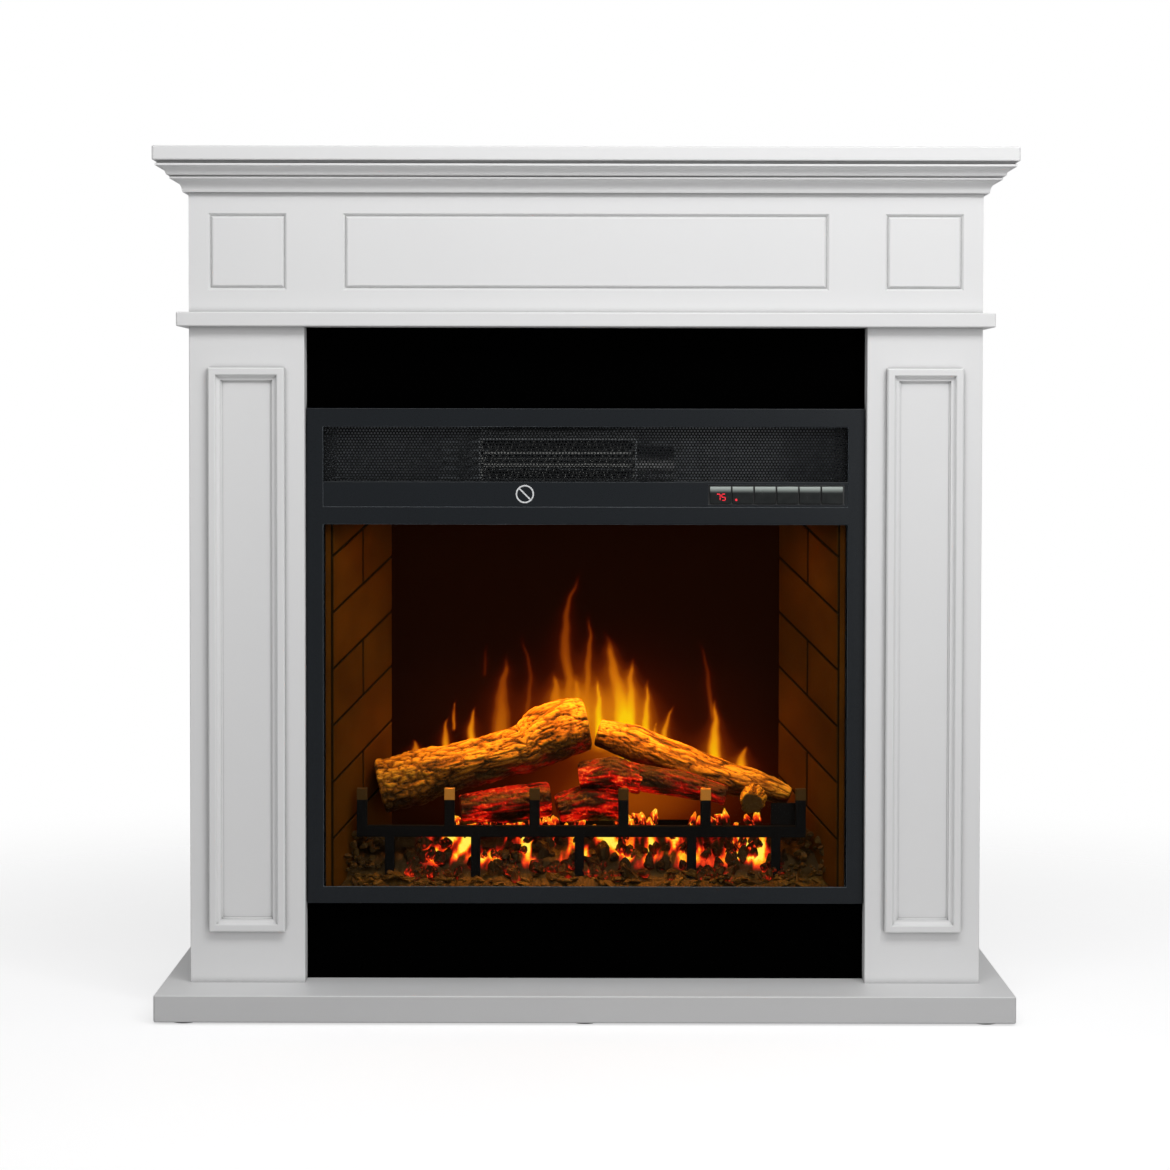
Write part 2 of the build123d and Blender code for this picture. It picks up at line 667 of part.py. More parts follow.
motor = rod_x(bearing_outer_x, bearing_outer_x + 24, spindle_y, spindle_z, 17)
motor -= rod_x(bearing_outer_x - 1, spindle_end_x + 2, spindle_y, spindle_z, shaft_radius + shaft_clearance)
save("flicker_motor", motor)

# Two strips of lamps: one under the spindle for the flames, one under the embers.
lamp_count = 13
lamp_pitch = 28
lamp_reach = 2.5
strip_top_z = floor_top_z + 1.6
lamp_boards = []
for strip_y0, strip_y1 in ((84, 100), (-18, -2)):
    strip = board(-190, 190, strip_y0, strip_y1, floor_top_z, strip_top_z)
    lamp_y = (strip_y0 + strip_y1) / 2
    for lamp in range(lamp_count):
        lamp_x = (lamp - (lamp_count - 1) / 2) * lamp_pitch
        strip += board(
            lamp_x - lamp_reach, lamp_x + lamp_reach, lamp_y - lamp_reach, lamp_y + lamp_reach,
            strip_top_z, strip_top_z + 1.8,
        )
    lamp_boards.append(strip)
save("lamp_boards", *lamp_boards)

# ---------------------------------------------------------------- log grate
# A black bar across the front with upright stubs, feet, and rails running back under the logs.
bar_front_y = -39
bar_back_y = -31
bar_top_z = grate_bar_bottom_z + 12
rail_top_z = grate_bar_bottom_z + 8
post_xs = (-238.5, -145, -54, 41, 129, 230.5)
foot_xs = (-209, -117, -6, 114, 204)
foot_bottom_z = 126
grate = board(-244, 236, bar_front_y, bar_back_y, grate_bar_bottom_z, bar_top_z)
for post_x in post_xs:
    grate += board(post_x - 5.5, post_x + 5.5, bar_front_y, bar_back_y, grate_bar_bottom_z, 230)
    rail_back_y = -14 if abs(post_x) > 200 else 40
    grate += board(post_x - 4, post_x + 4, bar_back_y, rail_back_y, grate_bar_bottom_z, rail_top_z)
for foot_x in foot_xs:
    grate += board(foot_x - 5, foot_x + 5, bar_front_y, bar_back_y, foot_bottom_z, grate_bar_bottom_z)
grate += board(-150, 135, 34, 40, grate_bar_bottom_z, rail_top_z)
end_plate_top_z = 214
grate += board(199, 236, bar_back_y, bar_back_y + 2, grate_bar_bottom_z, end_plate_top_z)
save("log_grate", grate)

# ---------------------------------------------------------------- ember bed
# A moulded tray that rises toward the back, covered in broken coals.
bed_front_y = -56
bed_back_y = 46
bed_peak_z = 175
bed_profile = [
    (bed_front_y, floor_top_z), (bed_front_y, 127), (-40, 133), (-26, 152), (-12, 164), (24, 168),
    (bed_back_y, 168), (bed_back_y, floor_top_z),
]
hollow_profile = [
    (-50, floor_top_z - 1), (-50, 123), (-30, 128), (-16, 148), (-4, 156), (40, 160), (40, floor_top_z - 1),
]
side_view = Plane(origin=(-300, 0, 0), x_dir=(0, 1, 0), z_dir=(1, 0, 0))
bed = extrude(side_view * make_face(Polyline(*bed_profile, close=True)), amount=600)
hollow = extrude(side_view * make_face(Polyline(*hollow_profile, close=True)), amount=600)
wall_lean = (wall_front_x - wall_back_x) / (wall_back_y - wall_front_y)


def bed_half_width(y, gap):
    """Half the clear width between the brick panels at this depth, less a gap."""
    return wall_front_x - (y - wall_front_y) * wall_lean - gap


bed_plan = [
    (-bed_half_width(bed_front_y, 0.8), bed_front_y), (bed_half_width(bed_front_y, 0.8), bed_front_y),
    (bed_half_width(bed_back_y, 0.8), bed_back_y), (-bed_half_width(bed_back_y, 0.8), bed_back_y),
]
hollow_plan = [
    (-bed_half_width(-50, 6), -50), (bed_half_width(-50, 6), -50),
    (bed_half_width(40, 6), 40), (-bed_half_width(40, 6), 40),
]
random.seed(11)
coals = []
for row, coal_y in enumerate((-46, -30, -12, 10, 32)):
    surface_z = (130, 143, 160, 166, 168)[row]
    half = bed_half_width(coal_y, 16)
    count = int(2 * half / 22)
    for place in range(count):
        coal_x = -half + 2 * half * (place + 0.5) / count + random.uniform(-3, 3)
        coal_size = random.uniform(13, 19)
        turn = Rot(random.uniform(0, 90), random.uniform(0, 90), random.uniform(0, 90))
        coal_z = surface_z + random.uniform(-5, -1)
        coals.append(Pos(coal_x, coal_y, coal_z) * turn * Box(coal_size, coal_size * 0.8, coal_size * 0.7))
bed += coals
bed &= outline_plan(bed_plan, floor_top_z, bed_peak_z)
bed -= hollow & outline_plan(hollow_plan, floor_top_z - 1, bed_peak_z)
for foot_x in foot_xs:
    bed -= board(foot_x - 5.5, foot_x + 5.5, bar_front_y - 0.5, bar_back_y + 0.5, foot_bottom_z - 0.5, 190)
main_body = bed.solids().sort_by(SortBy.VOLUME)[-1]
save("ember_bed", main_body)


# ---------------------------------------------------------------- logs
# Cast logs with a rough, many-sided outline that changes along their length.
def log(start, end, start_radius, end_radius, seed):
    """A rough log between two points, thicker or thinner toward its end."""
    random.seed(seed)
    axis = Vector(*end) - Vector(*start)
    sections = []
    for step in range(5):
        share = step / 4
        centre = Vector(*start) + axis * share
        plane = Plane(origin=centre, x_dir=(0, 0, 1), z_dir=axis)
        points = []
        for side in range(9):
            angle = 2 * math.pi * side / 9
            radius = (start_radius + (end_radius - start_radius) * share) * random.uniform(0.88, 1.0)
            points.append((radius * math.cos(angle), radius * math.sin(angle)))
        sections.append(plane * make_face(Polyline(*points, close=True)))
    return loft(sections, ruled=True)


save("left_log", log((-213, -5, 219), (-7, 11, 290), 27, 28.5, 3))
right_log = log((14, 27, 284), (220, 0, 222), 17, 17, 5)
stub = log((180, -36, 213), (180, -15, 213), 14.5, 14.5, 8)
save("right_log", right_log, stub)
small_logs = [
    log((-124, -8, 204), (-38, 0, 211), 15, 14, 21),
    log((4, -12, 244), (146, -15, 222), 12.5, 12.5, 22),
    log((-14, -4, 202), (56, 4, 204), 14, 13, 23),
]
save("ember_logs", *small_logs)

# ---------------------------------------------------------------- fan heater
# A crossflow fan blows through a ribbed heating block and out behind the grille.
fan_y = 38
fan_z = 574
fan_left_x = -113
fan_right_x = 54
fan_wall = 1.5
impeller_radius = 25
impeller_left_x = fan_left_x + 8
impeller_right_x = fan_right_x - 8
duct_front_y = -56
duct_bottom_z = 560
duct_top_z = 604

housing = board(fan_left_x, fan_right_x, -8, 74, deck_top_z, 612)
housing += board(fan_left_x, fan_right_x, duct_front_y, -8, duct_bottom_z, duct_top_z)
inside_left_x = fan_left_x + fan_wall
inside_right_x = fan_right_x - fan_wall
housing -= rod_x(inside_left_x, inside_right_x, fan_y, fan_z, impeller_radius + 3)
housing -= board(
    inside_left_x, inside_right_x, duct_front_y - 1, fan_y, duct_bottom_z + fan_wall, duct_top_z - fan_wall
)
housing -= board(inside_left_x, inside_right_x, fan_y, 76, 556, 592)
housing -= board(inside_left_x, inside_right_x, -6.5, 72.5, deck_top_z - 1, 540)
housing -= rod_x(fan_left_x - 1, fan_right_x + 1, fan_y, fan_z, shaft_radius + shaft_clearance)
save("blower_housing", housing)

impeller_length = impeller_right_x - impeller_left_x
impeller = rod_x(fan_left_x - 3, fan_right_x + 10, fan_y, fan_z, shaft_radius)
for disc_x in (impeller_left_x, (impeller_left_x + impeller_right_x) / 2, impeller_right_x):
    impeller += rod_x(disc_x - 0.8, disc_x + 0.8, fan_y, fan_z, impeller_radius)
blade_count = 16
blade_circle_radius = 21.4
blade_lean = 28
impeller_middle_x = (impeller_left_x + impeller_right_x) / 2
for number in range(blade_count):
    blade = Pos(0, 0, blade_circle_radius) * Rot(blade_lean, 0, 0) * Box(impeller_length, 1.1, 6.4)
    impeller += Pos(impeller_middle_x, fan_y, fan_z) * Rot(360 * number / blade_count, 0, 0) * blade
save("blower_impeller", impeller)

fan_motor = rod_x(fan_right_x, fan_right_x + 42, fan_y, fan_z, 22)
fan_motor -= rod_x(fan_right_x - 1, fan_right_x + 12, fan_y, fan_z, shaft_radius + shaft_clearance)
fan_motor += board(fan_right_x + 10, fan_right_x + 34, fan_y - 12, fan_y + 12, deck_top_z, fan_z - 20)
save("blower_motor", fan_motor)

# The heating block: a frame around a row of thin upright fins, filling the duct.
block_front_y = -44
block_back_y = -26
block_left_x = inside_left_x + 0.5
block_right_x = inside_right_x - 0.5
block = board(block_left_x, block_right_x, block_front_y, block_back_y, 562, 602)
block -= board(block_left_x + 5, block_right_x - 5, block_front_y - 1, block_back_y + 1, 567, 597)
fin_count = 24
for fin in range(fin_count):
    fin_x = block_left_x + 5 + (block_right_x - block_left_x - 10) * (fin + 0.5) / fin_count
    block += board(fin_x - 0.5, fin_x + 0.5, block_front_y + 1, block_back_y - 1, 566, 598)
save("heating_block", block)
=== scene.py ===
import math
import random

import bmesh
import bpy
import numpy as np
from mathutils import Matrix, Vector, noise


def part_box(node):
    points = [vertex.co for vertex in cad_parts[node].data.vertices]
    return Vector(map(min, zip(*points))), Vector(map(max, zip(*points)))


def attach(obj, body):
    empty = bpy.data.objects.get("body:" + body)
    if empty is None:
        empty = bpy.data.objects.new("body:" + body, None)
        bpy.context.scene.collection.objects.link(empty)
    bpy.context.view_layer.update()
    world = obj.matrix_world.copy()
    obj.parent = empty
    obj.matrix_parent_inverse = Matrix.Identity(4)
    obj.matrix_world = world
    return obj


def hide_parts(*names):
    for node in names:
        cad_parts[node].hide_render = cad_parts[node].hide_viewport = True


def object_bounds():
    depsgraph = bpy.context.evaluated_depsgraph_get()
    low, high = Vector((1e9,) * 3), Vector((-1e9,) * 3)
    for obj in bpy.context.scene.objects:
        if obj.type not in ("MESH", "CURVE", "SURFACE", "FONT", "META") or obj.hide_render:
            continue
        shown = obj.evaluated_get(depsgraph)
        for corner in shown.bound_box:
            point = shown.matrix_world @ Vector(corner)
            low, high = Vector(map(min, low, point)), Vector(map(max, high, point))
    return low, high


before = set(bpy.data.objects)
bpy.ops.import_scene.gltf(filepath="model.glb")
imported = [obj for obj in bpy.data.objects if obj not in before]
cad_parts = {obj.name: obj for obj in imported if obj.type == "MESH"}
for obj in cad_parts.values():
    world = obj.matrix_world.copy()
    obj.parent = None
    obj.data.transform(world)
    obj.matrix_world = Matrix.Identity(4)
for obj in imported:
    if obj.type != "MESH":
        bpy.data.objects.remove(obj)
cad_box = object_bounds()


# The room: a white studio. A wide soft lamp hangs high in front of the mantel and a narrow
# one close above it, two stand at its right to draw its mouldings, and the walls fill in.
whole_low, whole_high = cad_box
middle = (Vector(whole_low) + Vector(whole_high)) / 2

CAMERA_DISTANCE = 3.0424
CAMERA_HEIGHT = 0.6222
CAMERA_DIP = 1.8
camera_data = bpy.data.cameras.new("camera")
camera_data.lens = 86.8
camera_data.shift_y = -0.064
camera = bpy.data.objects.new("camera", camera_data)
bpy.context.scene.collection.objects.link(camera)
camera.matrix_world = (
    Matrix.Translation((middle.x - 0.0006, middle.y - CAMERA_DISTANCE, CAMERA_HEIGHT))
    @ Matrix.Rotation(math.radians(90 - CAMERA_DIP), 4, "X")
    @ Matrix.Rotation(math.radians(0.095), 4, "Z")
)
bpy.context.scene.camera = camera
bpy.context.scene.view_settings.view_transform = "Standard"

world = bpy.data.worlds.new("white_walls")
world.use_nodes = True
bpy.context.scene.world = world
walls = world.node_tree.nodes["Background"]
walls.inputs["Color"].default_value = (1.0, 1.0, 1.0, 1.0)
in_view = world.node_tree.nodes.new("ShaderNodeLightPath")
level = world.node_tree.nodes.new("ShaderNodeMapRange")
level.inputs["To Min"].default_value = 0.36
level.inputs["To Max"].default_value = 1.0
world.node_tree.links.new(in_view.outputs["Is Camera Ray"], level.inputs["Value"])
world.node_tree.links.new(level.outputs["Result"], walls.inputs["Strength"])


def soft_lamp(name, place, aim, width, height, watts, colour=(1.0, 1.0, 1.0)):
    """A flat diffused lamp at place, turned towards aim."""
    lamp = bpy.data.lights.new(name, "AREA")
    lamp.shape = "RECTANGLE"
    lamp.size = width
    lamp.size_y = height
    lamp.energy = watts
    lamp.color = colour
    holder = bpy.data.objects.new(name, lamp)
    bpy.context.scene.collection.objects.link(holder)
    holder.location = place
    holder.rotation_euler = (Vector(aim) - Vector(place)).to_track_quat("-Z", "Y").to_euler()
    holder.visible_camera = False
    return holder


soft_lamp("right_lamp", (1.1, -1.5, 1.75), middle, 0.4, 0.4, 5.5)
soft_lamp("top_lamp", (0.1, -1.25, 1.85), (0.0, 0.0, 0.75), 1.5, 0.5, 11.8)
soft_lamp("front_lamp", (1.3, -2.5, 0.75), (0.0, 0.0, 0.4), 1.0, 1.0, 8.0)
soft_lamp("close_lamp", (0.25, -0.8, 1.55), (0.0, 0.0, 0.7), 1.2, 0.3, 1.55)


# The floor: a wide pale studio floor, painted matt, with the faint mottling of rolled paint.
# It fades out all round, so that it runs into the white walls without an edge.


class Reading:
    """One value on a surface. Arithmetic on it is written as usual and adds its nodes."""

    def __init__(self, finish, socket):
        self.finish = finish
        self.socket = socket

    def maths(self, operation, *terms):
        return self.finish.node("ShaderNodeMath", {"operation": operation}, dict(enumerate(terms)))

    def __add__(self, other):
        return self.maths("ADD", self, other)

    __radd__ = __add__

    def __sub__(self, other):
        return self.maths("SUBTRACT", self, other)

    def __rsub__(self, other):
        return self.maths("SUBTRACT", other, self)

    def __mul__(self, other):
        return self.maths("MULTIPLY", self, other)

    __rmul__ = __mul__

    def __abs__(self):
        return self.maths("ABSOLUTE", self)

    def span(self, low, high):
        """0 below low, 1 above high, and a smooth rise between."""
        return self.finish.node(
            "ShaderNodeMapRange",
            {"interpolation_type": "SMOOTHSTEP"},
            {"Value": self, "From Min": low, "From Max": high},
        )


class Finish:
    """A material: node() adds any shader node, and coat() feeds the surface itself."""

    def __init__(self, name, **sockets):
        self.material = bpy.data.materials.new(name)
        self.material.use_nodes = True
        self.tree = self.material.node_tree
        self.shader = self.tree.nodes["Principled BSDF"]
        self.place = self.node("ShaderNodeTexCoord", out="Object")
        self.set(self.shader, {key.replace("_", " "): value for key, value in sockets.items()})

    def set(self, target, sockets):
        for key, value in sockets.items():
            socket = target.inputs[key]
            if isinstance(value, Reading):
                self.tree.links.new(value.socket, socket)
            elif isinstance(value, tuple) and socket.type == "RGBA":
                socket.default_value = (*value, 1.0)[:4]
            else:
                socket.default_value = value

    def node(self, kind, settings=None, sockets=None, out=0):
        made = self.tree.nodes.new(kind)
        for name, value in (settings or {}).items():
            if name == "stops":
                self.stops(made.color_ramp, value)
            else:
                setattr(made, name, value)
        self.set(made, sockets or {})
        return Reading(self, made.outputs[out])

    def stops(self, ramp, stops):
        while len(ramp.elements) < len(stops):
            ramp.elements.new(1.0)
        for element, (position, colour) in zip(ramp.elements, stops):
            element.position = position
            element.color = (*colour, 1.0)

    def cloud(self, scale, detail=2.0, roughness=0.5, where=None):
        """Soft random mottling, with scale blotches to the metre."""
        sockets = {"Vector": where or self.place, "Scale": scale}
        sockets |= {"Detail": detail, "Roughness": roughness}
        return self.node("ShaderNodeTexNoise", None, sockets, out="Fac")

    def cells(self, scale, feature="F1", out="Distance", where=None):
        """Random cells, scale of them to the metre."""
        sockets = {"Vector": where or self.place, "Scale": scale}
        return self.node("ShaderNodeTexVoronoi", {"feature": feature}, sockets, out=out)

    def stretch(self, x, y, z):
        """The place on the piece, with each direction stretched."""
        sockets = {0: self.place, 1: (x, y, z)}
        return self.node("ShaderNodeVectorMath", {"operation": "MULTIPLY"}, sockets)

    def axis(self, name):
        """How far along X, Y or Z a place on the piece lies."""
        return self.node("ShaderNodeSeparateXYZ", None, {0: self.place}, out=name)

    def blend(self, share, first, second):
        """The first colour where share is 0, and the second where it is 1."""
        sockets = {0: share, 6: first, 7: second}
        return self.node("ShaderNodeMix", {"data_type": "RGBA"}, sockets, out=2)

    def edges(self, low=0.52, high=0.6):
        """1 on proud edges, where handling wears a finish, and 0 on flats."""
        return self.node("ShaderNodeNewGeometry", out="Pointiness").span(low, high)

    def rims(self, radius):
        """1 along the sharp corners, within radius metres, and 0 on flats."""
        rounded = self.node("ShaderNodeBevel", {"samples": 4}, {"Radius": radius})
        flat = self.node("ShaderNodeNewGeometry", out="Normal")
        sockets = {0: rounded, 1: flat}
        together = self.node("ShaderNodeVectorMath", {"operation": "DOT_PRODUCT"}, sockets, out="Value")
        return (1 - together).span(0.04, 0.25)

    def hollows(self, reach):
        """1 deep in grooves and inner corners narrower than reach metres, and 0 in the open: where
        painted shade goes.
        """
        sky = self.node("ShaderNodeAmbientOcclusion", {"samples": 6}, {"Distance": reach}, out="AO")
        return (1 - sky).span(0.24, 0.80)

    def carried(self, name):
        """A value worked out with the mesh and carried by it."""
        return self.node("ShaderNodeAttribute", {"attribute_name": name}, out="Fac")

    def relief(self, height, depth, strength=1.0):
        """The surface normal for a fine relief of that height and depth in metres."""
        sockets = {"Height": height, "Distance": depth, "Strength": strength}
        return self.node("ShaderNodeBump", None, sockets, out="Normal")

    def coat(self, **sockets):
        """Feeds the surface's own sockets, named with underscores for spaces."""
        self.set(self.shader, {key.replace("_", " "): value for key, value in sockets.items()})
        return self.material


floor_finish = Finish("studio_floor", Roughness=0.9, Specular_IOR_Level=0.1, Emission_Strength=0.64)
floor_mottle = floor_finish.cloud(3.0)
FLOOR_SOLID = 0.55
FLOOR_GONE = 1.7
floor_reach = floor_finish.node(
    "ShaderNodeVectorMath", {"operation": "LENGTH"}, {0: floor_finish.place}, out="Value"
)
floor_finish.coat(
    Base_Color=floor_finish.blend(floor_mottle, (0.49, 0.49, 0.50), (0.53, 0.53, 0.53)),
    Emission_Color=floor_finish.node("ShaderNodeLightPath", out="Is Camera Ray"),
    Normal=floor_finish.relief(floor_finish.cloud(220.0), 0.0002, 0.2),
    Alpha=1 - floor_reach.span(FLOOR_SOLID, FLOOR_GONE),
)
FLOOR_HALF = 2.0
FLOOR_GAP = 0.0002
floor_mesh = bpy.data.meshes.new("floor")
floor_corners = [(-1, -1), (1, -1), (1, 1), (-1, 1)]
floor_mesh.from_pydata(
    [(x * FLOOR_HALF, y * FLOOR_HALF, whole_low[2] - FLOOR_GAP) for x, y in floor_corners],
    [],
    [(0, 1, 2, 3)],
)
floor_mesh.materials.append(floor_finish.material)
floor = bpy.data.objects.new("floor", floor_mesh)
bpy.context.scene.collection.objects.link(floor)


# The white mantel: routed fibreboard, primed, sanded and sprayed with satin white lacquer.
# The film shows a very fine ripple, the edges are sanded, and the grooves carry painted shade.
MM = 0.001
HOLLOW_REACH = 0.013
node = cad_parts
white = Finish("satin_white_lacquer", Coat_Weight=0.0, Specular_IOR_Level=0.35)
film = white.cloud(5.0, 3.0)
ripple = white.cloud(1300.0, 2.0)
plain = white.blend(film, (0.81, 0.81, 0.815), (0.845, 0.845, 0.845))
# Painted shade: grooves and inner corners are blended towards near black.
painted_groove_shade = white.blend(white.hollows(HOLLOW_REACH) * 0.9, plain, (0.04, 0.04, 0.04))
white.coat(
    Base_Color=painted_groove_shade,
    Roughness=0.36 + 0.1 * white.cloud(24.0),
    Normal=white.relief(ripple, 0.00006, 0.5),
)


def ease_edges(names, radius=0.7, segments=2, angle=35.0):
    """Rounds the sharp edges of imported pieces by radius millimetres."""
    for name in names:
        weld = node[name].modifiers.new("weld", "WELD")
        weld.merge_threshold = 0.000002
        bevel = node[name].modifiers.new("eased_edges", "BEVEL")
        bevel.width = radius * MM
        bevel.segments = segments
        bevel.limit_method = "ANGLE"
        bevel.angle_limit = math.radians(angle)
        bevel.use_clamp_overlap = True
        even = node[name].modifiers.new("even_shading", "WEIGHTED_NORMAL")
        even.weight = 80


WHITE_BOARDS = [
    "mantel_shelf",
    "crown_moulding",
    "frieze_board",
    "header_sides",
    "header_ledge",
    "left_pilaster_face",
    "right_pilaster_face",
    "left_pilaster_sides",
    "right_pilaster_sides",
    "left_pilaster_moulding",
    "right_pilaster_moulding",
    "hearth_base",
]


def finish_nodes(names, material):
    """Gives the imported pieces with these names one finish."""
    for name in names:
        piece = node[name]
        if not piece.data.materials:
            piece.data.materials.append(material)
        for place in range(len(piece.data.materials)):
            piece.data.materials[place] = material


finish_nodes(WHITE_BOARDS, white.material)

# The base board: the same lacquer, a little duller, and drawn darker and greyer on its front and
# sides than on its flat top.
base_lacquer = Finish("base_lacquer_darker_sides", Specular_IOR_Level=0.3)
base_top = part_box("hearth_base")[1].z
flat_top = base_lacquer.axis("Z").span(base_top - 0.0012, base_top - 0.0004)
base_film = base_lacquer.cloud(5.0, 3.0)
base_lacquer.coat(
    Base_Color=base_lacquer.blend(
        flat_top,
        base_lacquer.blend(base_film, (0.63, 0.63, 0.635), (0.67, 0.67, 0.67)),
        base_lacquer.blend(base_film, (0.75, 0.75, 0.755), (0.79, 0.79, 0.79)),
    ),
    Roughness=0.40 + 0.1 * base_lacquer.cloud(24.0),
    Normal=base_lacquer.relief(base_lacquer.cloud(1300.0, 2.0), 0.00006, 0.5),
)
finish_nodes(["hearth_base"], base_lacquer.material)
ease_edges([name for name in WHITE_BOARDS if "moulding" not in name and name != "frieze_board"])

# The black boards above and below the heater: fibreboard faced with dull black paper, which
# takes in nearly all light, so that the heater seems to float in the opening.
black_board = Finish("dull_black_paper", Roughness=0.9, Specular_IOR_Level=0.0)
paper = black_board.cloud(900.0, 3.0)
black_board.coat(
    Base_Color=black_board.blend(paper, (0.0001, 0.0001, 0.0001), (0.0009, 0.0009, 0.0009)),
    Normal=black_board.relief(paper, 0.0001, 0.3),
)
finish_nodes(["upper_infill_panel", "lower_infill_panel"], black_board.material)

# The heater's stand and the stretcher behind it: bare medium-density board, sawn to size.
# The faces are pressed smooth and flecked with fibre, and they are never painted.
raw_board = Finish("bare_fibreboard", Roughness=0.78, Specular_IOR_Level=0.2)
fibre = raw_board.cloud(700.0, 4.0, 0.7, raw_board.stretch(1.0, 1.0, 3.0))
fleck = raw_board.cloud(2600.0, 2.0).span(0.60, 0.72)
board_tone = raw_board.blend(fibre, (0.42, 0.29, 0.17), (0.62, 0.47, 0.31))
raw_board.coat(
    Base_Color=raw_board.blend(fleck * 0.5, board_tone, (0.25, 0.16, 0.09)),
    Normal=raw_board.relief(fibre, 0.0002, 0.4),
)
finish_nodes(["insert_platform", "rear_stretcher"], raw_board.material)
ease_edges(["insert_platform", "rear_stretcher"], 0.4, 1)

# Brackets, screws, clips and motor cans: pressed steel with bright zinc plate, which keeps
# faint rolling lines and small cloudy patches.
zinc = Finish("zinc_plated_steel", Metallic=1.0)
rolled = zinc.cloud(180.0, 4.0, 0.6, zinc.stretch(0.15, 1.0, 1.0))
zinc_plate = zinc.blend(rolled, (0.50, 0.51, 0.53), (0.66, 0.66, 0.65))
zinc.coat(
    Base_Color=zinc.blend(zinc.edges(), zinc_plate, (0.8, 0.8, 0.8)),
    Roughness=0.28 + 0.22 * rolled,
    Normal=zinc.relief(rolled, 0.00005, 0.4),
)
STEEL_PARTS = [
    "wall_brackets",
    "mantel_screws",
    "glass_clips",
    "case_screws",
    "flicker_motor",
    "blower_motor",
]
finish_nodes(STEEL_PARTS, zinc.material)

# The floor pads, the key bezel and the cord gland: moulded black nylon with a spark-eroded
# texture, a little greyer where it has been rubbed.
nylon = Finish("black_nylon", Specular_IOR_Level=0.4)
spark = nylon.cloud(2400.0, 2.0)
nylon_skin = nylon.blend(spark, (0.008, 0.008, 0.009), (0.02, 0.02, 0.021))
nylon.coat(
    Base_Color=nylon.blend(nylon.edges(), nylon_skin, (0.06, 0.06, 0.06)),
    Roughness=0.5 + 0.2 * spark,
    Normal=nylon.relief(spark, 0.00008, 0.5),
)
finish_nodes(["floor_glides", "key_frame", "cord_gland"], nylon.material)
ease_edges(["key_frame"], 0.15, 1)

# The heater's one-piece trim, its chassis and the control strip: pressed sheet steel in a baked dark
# slate powder coat, with a fine leathery grain and a painted highlight in light grey along its edges.
slate = Finish("slate_powder_coat", Specular_IOR_Level=0.40)
grain = slate.cloud(1500.0, 3.0, 0.6)
shade = slate.cloud(14.0, 2.0)
slate_tone = slate.blend(shade, (0.0030, 0.0054, 0.0084), (0.0045, 0.0074, 0.0108))
HIGHLIGHT_RIM_WIDTH = 0.0008
slate.coat(
    # Painted highlight: a thin light grey line along every sharp edge.
    Base_Color=slate.blend(slate.rims(HIGHLIGHT_RIM_WIDTH), slate_tone, (0.20, 0.23, 0.26)),
    Roughness=0.22 + 0.14 * grain,
    Normal=slate.relief(grain, 0.00005, 0.35),
)
finish_nodes(["trim_frame", "front_chassis", "control_fascia"], slate.material)
ease_edges(["trim_frame"], 0.9, 3)
ease_edges(["control_fascia"], 0.6, 2)

# The symbol on the control strip: a ring with a slanted bar, screen-printed in white ink
# that stands a hair above the coat.
RING_OUTER = 9.6
RING_WIDTH = 1.5
BAR_WIDTH = 1.5
INK_PROUD = 0.06
INK_SUNK = 0.01
fascia_low, fascia_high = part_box("control_fascia")
RING_CENTRE = Vector((-0.064, fascia_low.y, (fascia_low.z + fascia_high.z) / 2 + 0.0022))


def mesh_piece(name, points, faces, material, smooth=True):
    """A piece made from points in metres in the mantel's own frame."""
    mesh = bpy.data.meshes.new(name)
    mesh.from_pydata([tuple(point) for point in points], [], [tuple(face) for face in faces])
    mesh.materials.append(material)
    mesh.polygons.foreach_set("use_smooth", [smooth] * len(mesh.polygons))
    mesh.update()
    piece = bpy.data.objects.new(name, mesh)
    bpy.context.scene.collection.objects.link(piece)
    return piece


ink_points = []
ink_faces = []
RING_STEPS = 72
for step in range(RING_STEPS):
    turn = 2 * math.pi * step / RING_STEPS
    direction = (math.cos(turn), math.sin(turn))
    for radius in (RING_OUTER - RING_WIDTH, RING_OUTER):
        for depth in (-INK_PROUD, INK_SUNK):
            spot = Vector((direction[0] * radius, depth, direction[1] * radius))
            ink_points.append(RING_CENTRE + spot * MM)
    near = 4 * step
    far = 4 * ((step + 1) % RING_STEPS)
    ink_faces += [
        (near, far, far + 2, near + 2),
        (near + 1, near + 3, far + 3, far + 1),
        (near, near + 1, far + 1, far),
        (near + 2, far + 2, far + 3, near + 3),
    ]
bar_along = Vector((-1, 0, 1)).normalized() * (RING_OUTER - RING_WIDTH * 0.8)
bar_across = Vector((1, 0, 1)).normalized() * BAR_WIDTH / 2
start = len(ink_points)
for along, across in ((-1, -1), (1, -1), (1, 1), (-1, 1)):
    for depth in (-INK_PROUD, INK_SUNK):
        spot = bar_along * along + bar_across * across + Vector((0, depth, 0))
        ink_points.append(RING_CENTRE + spot * MM)
ink_faces += [(start + 6, start + 4, start + 2, start), (start + 1, start + 3, start + 5, start + 7)]
for side in range(4):
    near = start + 2 * side
    far = start + 2 * ((side + 1) % 4)
    ink_faces.append((near, far, far + 1, near + 1))
ink = Finish("white_screen_ink", Roughness=0.5)
ink_speck = ink.cloud(1800.0, 2.0)
ink.coat(
    Base_Color=ink.blend(ink_speck.span(0.3, 0.6), (0.55, 0.56, 0.57), (0.86, 0.87, 0.88)),
    Normal=ink.relief(ink_speck, 0.00003, 0.5),
)
symbol = mesh_piece("printed_symbol", ink_points, ink_faces, ink.material, smooth=False)
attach(symbol, "fireplace")
